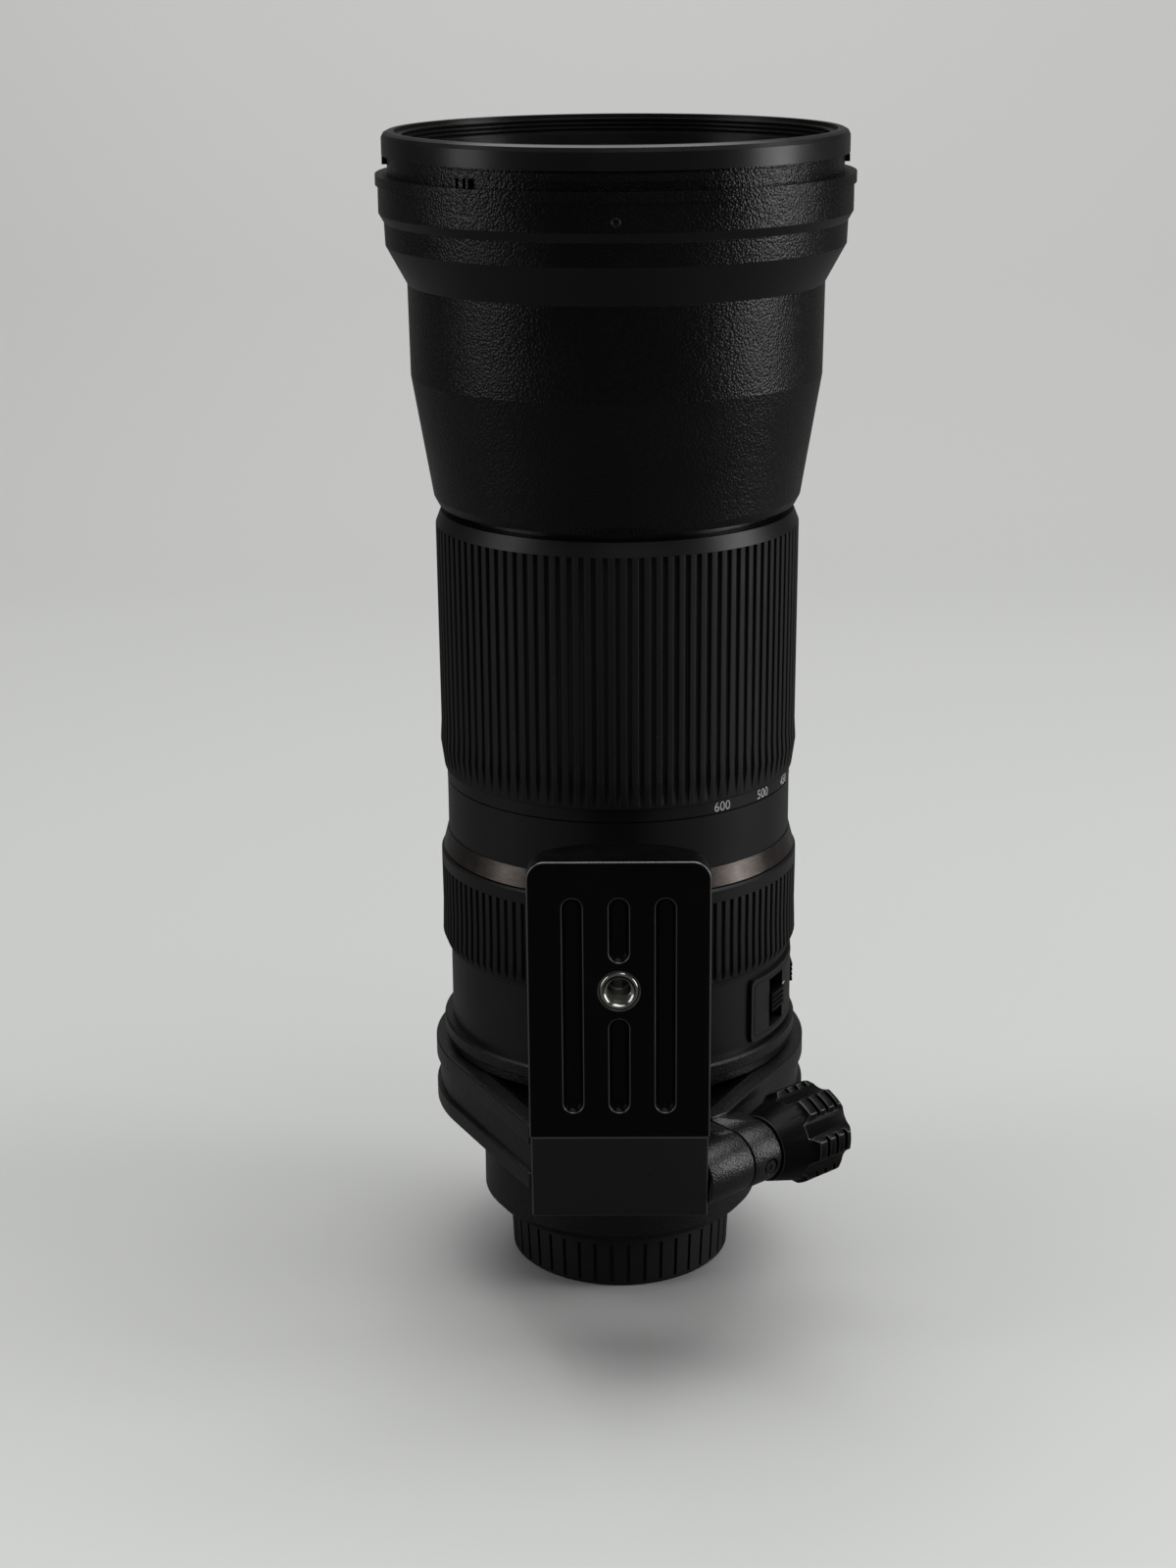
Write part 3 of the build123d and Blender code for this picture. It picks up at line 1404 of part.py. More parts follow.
pieces = [
    rear_cap, mount_screws, mount_plate, contact_block, rear_barrel, switch_barrel, switch_panel,
    stabilizer_switch, focus_mode_switch, focus_limit_switch, distance_window, middle_barrel,
    zoom_lock_switch, accent_ring, focus_ring, focus_grip, motor_rotor, distance_scale, motor_stator,
    main_board, zoom_ring, zoom_grip, cam_tube, guide_tube, front_barrel, extension_sleeve,
    front_followers, hood_ring, filter_ring, front_cell, front_element, front_retainer, variator_cell,
    variator_element, focus_cell, focus_element, stabilizer_frame, stabilizer_cell, stabilizer_element,
    rear_cell, rear_element, iris_base, iris_ring, collar_body, collar_arm, arm_screw, hinge_pin, clamp_stud,
    clamp_knob, tripod_foot, tripod_bush,
]
solids = [piece.part for piece in pieces] + [iris_blade(number) for number in range(blade_count)]
os.makedirs("parts", exist_ok=True)
for solid in solids:
    export_step(solid, f"parts/{solid.label}.step")
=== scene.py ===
"""Camera zoom lens on its rear cap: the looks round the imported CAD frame, in metres."""
import json
import logging
import math
from dataclasses import dataclass, field
from enum import Enum
from typing import Callable

import bmesh
import bpy
from mathutils import Matrix, Vector

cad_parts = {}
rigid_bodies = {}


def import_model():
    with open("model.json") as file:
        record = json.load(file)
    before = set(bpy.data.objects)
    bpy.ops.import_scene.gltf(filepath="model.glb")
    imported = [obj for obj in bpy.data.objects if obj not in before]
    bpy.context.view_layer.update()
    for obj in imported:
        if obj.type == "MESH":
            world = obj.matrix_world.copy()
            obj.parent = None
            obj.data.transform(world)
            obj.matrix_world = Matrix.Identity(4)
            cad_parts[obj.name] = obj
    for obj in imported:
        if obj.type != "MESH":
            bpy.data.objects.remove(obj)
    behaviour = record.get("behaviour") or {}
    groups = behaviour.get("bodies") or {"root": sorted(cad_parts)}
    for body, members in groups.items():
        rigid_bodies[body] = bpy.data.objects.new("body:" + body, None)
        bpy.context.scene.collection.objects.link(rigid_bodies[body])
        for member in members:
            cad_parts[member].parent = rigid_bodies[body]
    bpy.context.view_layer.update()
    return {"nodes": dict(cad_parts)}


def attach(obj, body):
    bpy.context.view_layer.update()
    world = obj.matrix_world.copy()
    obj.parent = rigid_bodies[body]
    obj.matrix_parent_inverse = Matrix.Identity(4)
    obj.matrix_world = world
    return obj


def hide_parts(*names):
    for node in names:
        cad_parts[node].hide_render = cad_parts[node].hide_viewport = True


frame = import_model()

MM = 0.001
log = logging.getLogger("zoom_lens")

Colour = tuple[float, float, float]
Point = tuple[float, float, float]
Socket = bpy.types.NodeSocket

BAND_SOFT_MM = 0.02
FLOOR_PALE: Colour = (0.6, 0.61, 0.595)
FLOOR_DUSTY: Colour = (0.573, 0.582, 0.57)
# Painted light on the floor sheet: the near colour lightens the front of the floor and the high colour
# lightens the top of the wall.
FLOOR_NEAR_PAINTED_LIGHT: Colour = (0.95, 0.96, 0.94)
FLOOR_FAR: Colour = (0.6, 0.606, 0.588)
WALL_HIGH_PAINTED_LIGHT: Colour = (0.86, 0.865, 0.83)
FLOOR_THROWN: Colour = (0.13, 0.13, 0.13)
FLOOR_SWELL_MM = 60.0
GLASS_CLEAR: Colour = (0.8, 0.86, 0.93)
WINDOW_CLEAR: Colour = (0.9, 0.93, 0.97)
GLASS_COAT: Colour = (0.6, 0.72, 1.0)
GLASS_INDEX = 1.52
GLASS_DUST_MM = 0.9
GLASS_ROUGH = (0.01, 0.12)


class Grain(Enum):
    """Surface structure that a finish carries."""

    CRINKLE = "crinkle paint"
    SATIN = "moulded satin"
    RUBBER = "dusty rubber"
    TURNED = "turned metal"
    DUST = "dusty smooth"


@dataclass(frozen=True)
class Band:
    """Span of heights, in millimetres, over which a finish changes."""

    low_mm: float
    high_mm: float
    colour: Colour
    metallic: float = 0.0
    smooth: bool = False


@dataclass(frozen=True)
class Finish:
    """One finish: the plain values of its shader, the structure over it and its bands."""

    name: str
    colour: Colour
    worn: Colour
    roughness: float
    rough_spread: float
    grain: Grain
    grain_mm: float
    depth_mm: float
    metallic: float = 0.0
    specular: float = 0.5
    bands: tuple[Band, ...] = ()


CRINKLE_BLACK = Finish("crinkle black", (0.0022, 0.0022, 0.0024), (0.014, 0.014, 0.0145), 0.3, 0.1,
                       Grain.CRINKLE, 0.56, 0.125, specular=0.3, bands=(
                           Band(235.6, 244.0, (0.0085, 0.0085, 0.009), smooth=True),
                           Band(249.0, 251.05, (0.0085, 0.0085, 0.009), smooth=True)))
COLLAR_CRINKLE = Finish("fine crinkle black", (0.006, 0.006, 0.0063), (0.026, 0.026, 0.027), 0.32, 0.1,
                        Grain.CRINKLE, 0.46, 0.09, specular=0.46)
COLLAR_EDGE = Finish("rubbed collar edge", (0.05, 0.05, 0.05), (0.12, 0.12, 0.118), 0.34, 0.1,
                     Grain.CRINKLE, 0.45, 0.04, metallic=1.0)
PANEL_BLACK = Finish("switch panel black", (0.009, 0.009, 0.0095), (0.02, 0.02, 0.02), 0.44, 0.08,
                     Grain.SATIN, 0.35, 0.012, specular=0.45)
BARREL_BLACK = Finish("satin barrel black", (0.0085, 0.0085, 0.009), (0.018, 0.018, 0.018), 0.36, 0.08,
                      Grain.SATIN, 0.4, 0.01, specular=0.36)
RUBBER_GREY = Finish("rib rubber", (0.0105, 0.0105, 0.0108), (0.04, 0.04, 0.038), 0.6, 0.1,
                     Grain.RUBBER, 0.5, 0.02, specular=0.3)
LIP_BLACK = Finish("semi-gloss lip", (0.008, 0.008, 0.0085), (0.025, 0.025, 0.025), 0.3, 0.1,
                   Grain.DUST, 0.9, 0.006, specular=0.4)
THROAT_BLACK = Finish("anodised throat ring", (0.09, 0.09, 0.1), (0.16, 0.16, 0.17), 0.28, 0.1,
                      Grain.TURNED, 0.12, 0.01, metallic=1.0)
FOOT_BLACK_AND_PAINTED_LIGHT = Finish("semi-gloss foot with painted toe light", (0.0018, 0.0018, 0.002), (0.012, 0.012, 0.012), 0.32, 0.1,
                    Grain.DUST, 0.5, 0.012, specular=0.14, bands=(
                        # Painted light: the lighter toe below the knee is a painted reflection of the floor,
                        # and the thin light line at the knee is a painted highlight.
                        Band(-1.0, 61.0, (0.034, 0.034, 0.036)), Band(60.8, 61.3, (0.11, 0.11, 0.11))))
FOOT_EDGE = Finish("rubbed foot edge", (0.19, 0.19, 0.19), (0.34, 0.34, 0.335), 0.38, 0.12,
                   Grain.DUST, 0.6, 0.01, metallic=1.0)
KNOB_BLACK = Finish("satin knob", (0.002, 0.002, 0.0022), (0.014, 0.014, 0.014), 0.38, 0.08,
                    Grain.SATIN, 0.3, 0.012, specular=0.12)
KNOB_EDGE = Finish("rubbed knob edge", (0.02, 0.02, 0.02), (0.04, 0.04, 0.04), 0.35, 0.08,
                   Grain.SATIN, 0.3, 0.01)
CAP_BLACK = Finish("rear cap black", (0.016, 0.016, 0.0163), (0.024, 0.024, 0.024), 0.5, 0.1,
                   Grain.SATIN, 0.35, 0.02, specular=0.35)
ACCENT_BROWN = Finish("brushed brown metal", (0.06, 0.051, 0.046), (0.12, 0.105, 0.096), 0.32, 0.12,
                      Grain.TURNED, 0.05, 0.01, metallic=1.0)
BRIGHT_STEEL = Finish("bright steel", (0.55, 0.54, 0.53), (0.7, 0.69, 0.68), 0.22, 0.14,
                      Grain.TURNED, 0.09, 0.008, metallic=1.0)
BUSH_CHROME = Finish("plated bush", (0.36, 0.355, 0.33), (0.5, 0.49, 0.46), 0.16, 0.1,
                     Grain.DUST, 0.5, 0.008, metallic=1.0)
DARK_STEEL = Finish("blackened steel", (0.05, 0.05, 0.05), (0.2, 0.2, 0.2), 0.35, 0.15,
                    Grain.DUST, 0.4, 0.01, metallic=1.0)
INNER_BLACK = Finish("inner flat black", (0.006, 0.006, 0.006), (0.012, 0.012, 0.012), 0.6, 0.1,
                     Grain.SATIN, 0.5, 0.01, specular=0.35)
CONTACT_BLACK = Finish("contact block", (0.008, 0.008, 0.008), (0.014, 0.014, 0.014), 0.45, 0.1,
                       Grain.SATIN, 0.5, 0.005, bands=(Band(-1.0, 8.15, (0.75, 0.55, 0.25), metallic=1.0),))
BOARD_GREEN = Finish("circuit board", (0.02, 0.07, 0.035), (0.05, 0.15, 0.08), 0.4, 0.15,
                     Grain.DUST, 1.2, 0.03)
PRINT_WHITE = Finish("white print", (0.62, 0.62, 0.6), (0.5, 0.5, 0.48), 0.5, 0.1,
                     Grain.DUST, 0.4, 0.004)


def clear_selection() -> None:
    """Deselects every object."""
    for shown in bpy.context.scene.objects:
        shown.select_set(False)


def make_active(piece: bpy.types.Object) -> None:
    """Selects one object alone and makes it the active one."""
    clear_selection()
    piece.select_set(True)
    bpy.context.view_layer.objects.active = piece


def settle(piece: bpy.types.Object) -> None:
    """Puts an object's place and turn into its mesh."""
    make_active(piece)
    bpy.ops.object.transform_apply(location=True, rotation=True, scale=True)


def apply_all(piece: bpy.types.Object) -> None:
    """Applies every modifier of an object."""
    make_active(piece)
    for modifier in list(piece.modifiers):
        bpy.ops.object.modifier_apply(modifier=modifier.name)


def map_span(tree: bpy.types.NodeTree, value: Socket, low: float, high: float, to_low: float = 0.0,
             to_high: float = 1.0) -> Socket:
    """Maps a value's span to another span, and clamps it.

    Args:
        tree: the tree that the node joins.
        value: socket with the value.
        low: start of its span.
        high: end of its span.
        to_low: what the start becomes.
        to_high: what the end becomes.

    Returns:
        Socket with the mapped value.
    """
    mapped = tree.nodes.new("ShaderNodeMapRange")
    mapped.inputs["From Min"].default_value = low
    mapped.inputs["From Max"].default_value = high
    mapped.inputs["To Min"].default_value = to_low
    mapped.inputs["To Max"].default_value = to_high
    tree.links.new(value, mapped.inputs["Value"])
    return mapped.outputs["Result"]


class Shader:
    """A material's node tree under construction."""

    def __init__(self, name: str) -> None:
        """Starts an empty material that ends in a Principled shader."""
        self.material = bpy.data.materials.new(name)
        self.material.use_nodes = True
        self.tree = self.material.node_tree
        self.tree.nodes.clear()
        self.out = self.tree.nodes.new("ShaderNodeOutputMaterial")
        self.main = self.tree.nodes.new("ShaderNodeBsdfPrincipled")
        self.tree.links.new(self.main.outputs["BSDF"], self.out.inputs["Surface"])

    def node(self, kind: str, **values: object) -> bpy.types.Node:
        """Adds a node and sets its properties.

        Args:
            kind: the node's type name.
            values: properties of the node.

        Returns:
            The new node.
        """
        made = self.tree.nodes.new(kind)
        for key, value in values.items():
            setattr(made, key, value)
        return made

    def link(self, source: Socket, target: Socket) -> None:
        """Joins two sockets."""
        self.tree.links.new(source, target)

    def object_place(self) -> Socket:
        """Socket with the place in the row frame."""
        return self.node("ShaderNodeTexCoord").outputs["Object"]

    def span(self, value: Socket, low: float, high: float, to_low: float = 0.0,
             to_high: float = 1.0) -> Socket:
        """Maps a value's span to another span in this material."""
        return map_span(self.tree, value, low, high, to_low, to_high)

    def axis(self, name: str) -> Socket:
        """Socket with one coordinate of the place in the row frame."""
        split = self.node("ShaderNodeSeparateXYZ")
        self.link(self.object_place(), split.inputs["Vector"])
        return split.outputs[name]

    def product(self, first: Socket, second: Socket) -> Socket:
        """Two values multiplied."""
        made = self.node("ShaderNodeMath", operation="MULTIPLY")
        self.link(first, made.inputs[0])
        self.link(second, made.inputs[1])
        return made.outputs[0]

    def blend(self, mask: Socket, under: Socket, colour: Colour) -> Socket:
        """Lays a plain colour over another where a mask is 1."""
        made = self.node("ShaderNodeMix", data_type="RGBA")
        made.inputs["B"].default_value = (*colour, 1.0)
        self.link(mask, made.inputs["Factor"])
        self.link(under, made.inputs["A"])
        return made.outputs["Result"]

    def mix(self, mask: Socket, first: Colour, second: Colour) -> Socket:
        """Blends two plain colours by a mask."""
        made = self.node("ShaderNodeMix", data_type="RGBA")
        made.inputs["A"].default_value = (*first, 1.0)
        made.inputs["B"].default_value = (*second, 1.0)
        self.link(mask, made.inputs["Factor"])
        return made.outputs["Result"]


class EffectGroups:
    """The shared node groups, each made once."""

    def __init__(self) -> None:
        """Starts with no group made."""
        self.made: dict[Grain, bpy.types.NodeTree] = {}

    def get(self, grain: Grain) -> bpy.types.NodeTree:
        """The group for a grain, made on first use."""
        if grain not in self.made:
            makers: dict[Grain, Callable[[bpy.types.NodeTree], None]] = {
                Grain.CRINKLE: self._crinkle,
                Grain.SATIN: self._satin,
                Grain.RUBBER: self._rubber,
                Grain.TURNED: self._turned,
                Grain.DUST: self._dust,
            }
            tree = bpy.data.node_groups.new(grain.value, "ShaderNodeTree")
            tree.interface.new_socket("Place", in_out="INPUT", socket_type="NodeSocketVector")
            tree.interface.new_socket("Size", in_out="INPUT", socket_type="NodeSocketFloat")
            tree.interface.new_socket("Height", in_out="OUTPUT", socket_type="NodeSocketFloat")
            tree.interface.new_socket("Wear", in_out="OUTPUT", socket_type="NodeSocketFloat")
            tree.interface.new_socket("Sheen", in_out="OUTPUT", socket_type="NodeSocketFloat")
            makers[grain](tree)
            self.made[grain] = tree
        return self.made[grain]

    @staticmethod
    def _ends(tree: bpy.types.NodeTree) -> tuple[bpy.types.Node, bpy.types.Node]:
        """The group's input and output nodes."""
        return tree.nodes.new("NodeGroupInput"), tree.nodes.new("NodeGroupOutput")

    @staticmethod
    def _scale(tree: bpy.types.NodeTree, size: Socket, share: float) -> Socket:
        """Texture scale for a feature size in metres.

        Args:
            tree: the group's tree.
            size: socket with the feature size.
            share: texture cells to one feature.

        Returns:
            Socket with the scale.
        """
        divide = tree.nodes.new("ShaderNodeMath")
        divide.operation = "DIVIDE"
        divide.inputs[0].default_value = share
        tree.links.new(size, divide.inputs[1])
        return divide.outputs[0]

    @staticmethod
    def _noise(tree: bpy.types.NodeTree, place: Socket, scale: Socket,
               detail: float = 2.0, roughness: float = 0.5) -> Socket:
        """Noise over the surface, 0 to 1."""
        noise = tree.nodes.new("ShaderNodeTexNoise")
        noise.inputs["Detail"].default_value = detail
        noise.inputs["Roughness"].default_value = roughness
        tree.links.new(place, noise.inputs["Vector"])
        tree.links.new(scale, noise.inputs["Scale"])
        return noise.outputs["Fac"]

    @staticmethod
    def _math(tree: bpy.types.NodeTree, operation: str, first: Socket,
              second: Socket | float) -> Socket:
        """One sum on two values."""
        made = tree.nodes.new("ShaderNodeMath")
        made.operation = operation
        tree.links.new(first, made.inputs[0])
        if isinstance(second, (int, float)):
            made.inputs[1].default_value = second
        else:
            tree.links.new(second, made.inputs[1])
        return made.outputs[0]

    def _specks(self, tree: bpy.types.NodeTree, place: Socket, scale: float,
                edge: float) -> Socket:
        """Few small dust specks, each a dot in a cell of its own."""
        cells = tree.nodes.new("ShaderNodeTexVoronoi")
        cells.inputs["Scale"].default_value = scale
        tree.links.new(place, cells.inputs["Vector"])
        split = tree.nodes.new("ShaderNodeSeparateColor")
        tree.links.new(cells.outputs["Color"], split.inputs["Color"])
        near = map_span(tree, cells.outputs["Distance"], edge, edge * 0.6)
        chosen = map_span(tree, split.outputs["Red"], 0.86, 0.9)
        return self._math(tree, "MULTIPLY", near, chosen)

    def _finish(self, tree: bpy.types.NodeTree, outlet: bpy.types.Node, height: Socket,
                wear: Socket, sheen: Socket) -> None:
        """Joins the group's three results to its output."""
        tree.links.new(height, outlet.inputs["Height"])
        tree.links.new(wear, outlet.inputs["Wear"])
        tree.links.new(sheen, outlet.inputs["Sheen"])

    def _crinkle(self, tree: bpy.types.NodeTree) -> None:
        """Leather-like paint: rounded pebbles of uneven size with narrow creases between."""
        inlet, outlet = self._ends(tree)
        place, size = inlet.outputs["Place"], inlet.outputs["Size"]
        scale = self._scale(tree, size, 1.0)
        cells = tree.nodes.new("ShaderNodeTexVoronoi")
        cells.feature = "SMOOTH_F1"
        cells.inputs["Smoothness"].default_value = 0.35
        tree.links.new(place, cells.inputs["Vector"])
        tree.links.new(scale, cells.inputs["Scale"])
        swell = self._noise(tree, place, self._scale(tree, size, 0.45), 3.0, 0.6)
        pebble = map_span(tree, cells.outputs["Distance"], 0.0, 0.75, 1.0, 0.0)
        height = self._math(tree, "ADD", self._math(tree, "MULTIPLY", pebble, 0.65),
                            self._math(tree, "MULTIPLY", swell, 0.6))
        slow = self._noise(tree, place, self._scale(tree, size, 0.03), 2.0)
        wear = self._math(tree, "MULTIPLY", map_span(tree, height, 0.62, 0.95),
                          map_span(tree, slow, 0.4, 0.75))
        self._finish(tree, outlet, height, wear, map_span(tree, slow, 0.3, 0.7))

    def _satin(self, tree: bpy.types.NodeTree) -> None:
        """Fine even spark-eroded texture of a moulding."""
        inlet, outlet = self._ends(tree)
        place, size = inlet.outputs["Place"], inlet.outputs["Size"]
        fine = self._noise(tree, place, self._scale(tree, size, 1.0), 3.0, 0.6)
        slow = self._noise(tree, place, self._scale(tree, size, 0.02), 2.0)
        specks = self._specks(tree, place, 260.0, 0.06)
        self._finish(tree, outlet, fine, specks, map_span(tree, slow, 0.3, 0.7))

    def _rubber(self, tree: bpy.types.NodeTree) -> None:
        """Dull rubber with pale dust that gathers in patches."""
        inlet, outlet = self._ends(tree)
        place, size = inlet.outputs["Place"], inlet.outputs["Size"]
        fine = self._noise(tree, place, self._scale(tree, size, 1.0), 4.0, 0.65)
        patches = self._noise(tree, place, self._scale(tree, size, 0.05), 3.0)
        specks = self._specks(tree, place, 220.0, 0.07)
        dust = self._math(tree, "MULTIPLY", map_span(tree, patches, 0.5, 0.8),
                          map_span(tree, fine, 0.45, 0.75))
        wear = self._math(tree, "MAXIMUM", self._math(tree, "MULTIPLY", dust, 0.35), specks)
        self._finish(tree, outlet, fine, wear, map_span(tree, patches, 0.3, 0.7))

    def _turned(self, tree: bpy.types.NodeTree) -> None:
        """Fine lines round the lens axis, as a lathe or a brush leaves them."""
        inlet, outlet = self._ends(tree)
        place, size = inlet.outputs["Place"], inlet.outputs["Size"]
        squeeze = tree.nodes.new("ShaderNodeVectorMath")
        squeeze.operation = "MULTIPLY"
        squeeze.inputs[1].default_value = (0.02, 0.02, 1.0)
        tree.links.new(place, squeeze.inputs[0])
        lines = self._noise(tree, squeeze.outputs[0], self._scale(tree, size, 1.0), 2.0, 0.6)
        slow = self._noise(tree, place, self._scale(tree, size, 0.01), 2.0)
        self._finish(tree, outlet, lines, map_span(tree, lines, 0.45, 0.7), map_span(tree, slow, 0.3, 0.7))

    def _dust(self, tree: bpy.types.NodeTree) -> None:
        """Smooth coat with faint swell, wipe marks and scattered dust."""
        inlet, outlet = self._ends(tree)
        place, size = inlet.outputs["Place"], inlet.outputs["Size"]
        swell = self._noise(tree, place, self._scale(tree, size, 1.0), 2.0, 0.5)
        wipes = self._noise(tree, place, self._scale(tree, size, 0.04), 4.0, 0.6)
        specks = self._specks(tree, place, 300.0, 0.055)
        haze = self._math(tree, "MULTIPLY", map_span(tree, wipes, 0.5, 0.8), 0.25)
        self._finish(tree, outlet, swell, self._math(tree, "MAXIMUM", haze, specks),
                     map_span(tree, wipes, 0.3, 0.7))


class PaintShop:
    """Makes each finish's material once."""

    def __init__(self) -> None:
        """Starts with no material made."""
        self.groups = EffectGroups()
        self.made: dict[str, bpy.types.Material] = {}

    def material(self, finish: Finish) -> bpy.types.Material:
        """The material of a finish.

        Args:
            finish: the finish asked for.

        Returns:
            Its material, made on first use.
        """
        if finish.name not in self.made:
            self.made[finish.name] = self._build(finish).material
        return self.made[finish.name]

    def _build(self, finish: Finish) -> Shader:
        """Wires the finish's grain to colour, roughness and bump."""
        shader = Shader(finish.name)
        main = shader.main
        main.inputs["Metallic"].default_value = finish.metallic
        main.inputs["Specular IOR Level"].default_value = finish.specular
        grain = self._lay_grain(shader, finish.grain, finish.grain_mm)
        colour = shader.mix(grain.outputs["Wear"], finish.colour, finish.worn)
        height = grain.outputs["Height"]
        # Each band lays its own colour between two heights; on the foot the two bands are painted light, a
        # lighter toe and a light knee line.
        for band in finish.bands:
            mask = self._band_mask(shader, band)
            colour = shader.blend(mask, colour, band.colour)
            if band.metallic > 0:
                shader.link(mask, main.inputs["Metallic"])
            if band.smooth:
                height = shader.product(height, shader.span(mask, 0.0, 1.0, 1.0, 0.0))
        shader.link(colour, main.inputs["Base Color"])
        spread = finish.rough_spread / 2
        rough = shader.span(grain.outputs["Sheen"], 0.0, 1.0, finish.roughness - spread,
                            finish.roughness + spread)
        shader.link(rough, main.inputs["Roughness"])
        if finish.depth_mm > 0:
            bump = shader.node("ShaderNodeBump")
            bump.inputs["Strength"].default_value = 1.0
            bump.inputs["Distance"].default_value = finish.depth_mm * MM
            shader.link(height, bump.inputs["Height"])
            shader.link(bump.outputs["Normal"], main.inputs["Normal"])
        return shader

    def _lay_grain(self, shader: Shader, grain: Grain, size_mm: float) -> bpy.types.Node:
        """Adds a grain's group, laid over the row frame.

        Args:
            shader: the material under construction.
            grain: the grain.
            size_mm: its feature size in millimetres.

        Returns:
            The group node.
        """
        laid = shader.node("ShaderNodeGroup", node_tree=self.groups.get(grain))
        laid.inputs["Size"].default_value = size_mm * MM
        shader.link(shader.object_place(), laid.inputs["Place"])
        return laid

    @staticmethod
    def _band_mask(shader: Shader, band: Band) -> Socket:
        """Mask of a band: 1 between its two heights and 0 outside them.

        Args:
            shader: the material under construction.
            band: the band.

        Returns:
            Socket with the mask.
        """
        height = shader.axis("Z")
        above = shader.span(height, (band.low_mm - BAND_SOFT_MM) * MM, (band.low_mm + BAND_SOFT_MM) * MM)
        below = shader.span(height, (band.high_mm + BAND_SOFT_MM) * MM, (band.high_mm - BAND_SOFT_MM) * MM)
        return shader.product(above, below)

    def floor(self) -> bpy.types.Material:
        """Pale floor: its shown colour is for the camera, with painted light that makes it lighter towards
        the front and high up the wall, and it throws less light back.
        """
        shader = Shader("pale floor with painted light")
        shader.main.inputs["Roughness"].default_value = 0.7
        shader.main.inputs["Specular IOR Level"].default_value = 0.2
        dust = self._lay_grain(shader, Grain.DUST, FLOOR_SWELL_MM)
        shown = shader.mix(dust.outputs["Sheen"], FLOOR_PALE, FLOOR_DUSTY)
        depth = shader.axis("Y")
        # Painted light: lighter towards the front of the floor and lighter high up the wall.
        near = shader.blend(shader.span(depth, 0.05, -0.5, 0.0, 0.85), shown, FLOOR_NEAR_PAINTED_LIGHT)
        far = shader.blend(shader.span(depth, 0.2, 0.9, 0.0, 0.7), near, FLOOR_FAR)
        wall = shader.blend(shader.span(shader.axis("Z"), 0.1, 0.9), far, WALL_HIGH_PAINTED_LIGHT)
        path = shader.node("ShaderNodeLightPath")
        seen = shader.node("ShaderNodeMix", data_type="RGBA")
        seen.inputs["A"].default_value = (*FLOOR_THROWN, 1.0)
        shader.link(path.outputs["Is Camera Ray"], seen.inputs["Factor"])
        shader.link(wall, seen.inputs["B"])
        shader.link(seen.outputs["Result"], shader.main.inputs["Base Color"])
        return shader.material

    def glass(self, name: str, tint: Colour) -> bpy.types.Material:
        """Coated clear glass.

        Args:
            name: the material's name.
            tint: colour of the light that passes.

        Returns:
            The material.
        """
        if name not in self.made:
            shader = Shader(name)
            shader.main.inputs["Base Color"].default_value = (*tint, 1.0)
            shader.main.inputs["Transmission Weight"].default_value = 1.0
            shader.main.inputs["Metallic"].default_value = 0.0
            shader.main.inputs["IOR"].default_value = GLASS_INDEX
            shader.main.inputs["Coat Weight"].default_value = 0.4
            shader.main.inputs["Coat Tint"].default_value = (*GLASS_COAT, 1.0)
            dust = self._lay_grain(shader, Grain.DUST, GLASS_DUST_MM)
            rough = shader.span(dust.outputs["Wear"], 0.0, 1.0, *GLASS_ROUGH)
            shader.link(rough, shader.main.inputs["Roughness"])
            self.made[name] = shader.material
        return self.made[name]


def dress(piece: bpy.types.Object, material: bpy.types.Material) -> None:
    """Gives a piece one material all over."""
    if not piece.data.materials:
        piece.data.materials.append(material)
    for place in range(len(piece.material_slots)):
        piece.material_slots[place].link = "OBJECT"
        piece.material_slots[place].material = material


def wrap_round(piece: bpy.types.Object, radius: float, azimuth: float, height: float) -> None:
    """Bends a flat piece round the lens axis: its X runs round, its Y up and its Z outwards.

    Args:
        piece: mesh object, flat about its own origin.
        radius: radius that its Z = 0 plane takes, in metres.
        azimuth: angle of its middle from +X towards +Y, in degrees.
        height: height of its middle, in metres.
    """
    middle = math.radians(azimuth)
    for vertex in piece.data.vertices:
        out = radius + vertex.co.z
        angle = middle + vertex.co.x / radius
        vertex.co = Vector((out * math.cos(angle), out * math.sin(angle), height + vertex.co.y))
    piece.data.update()


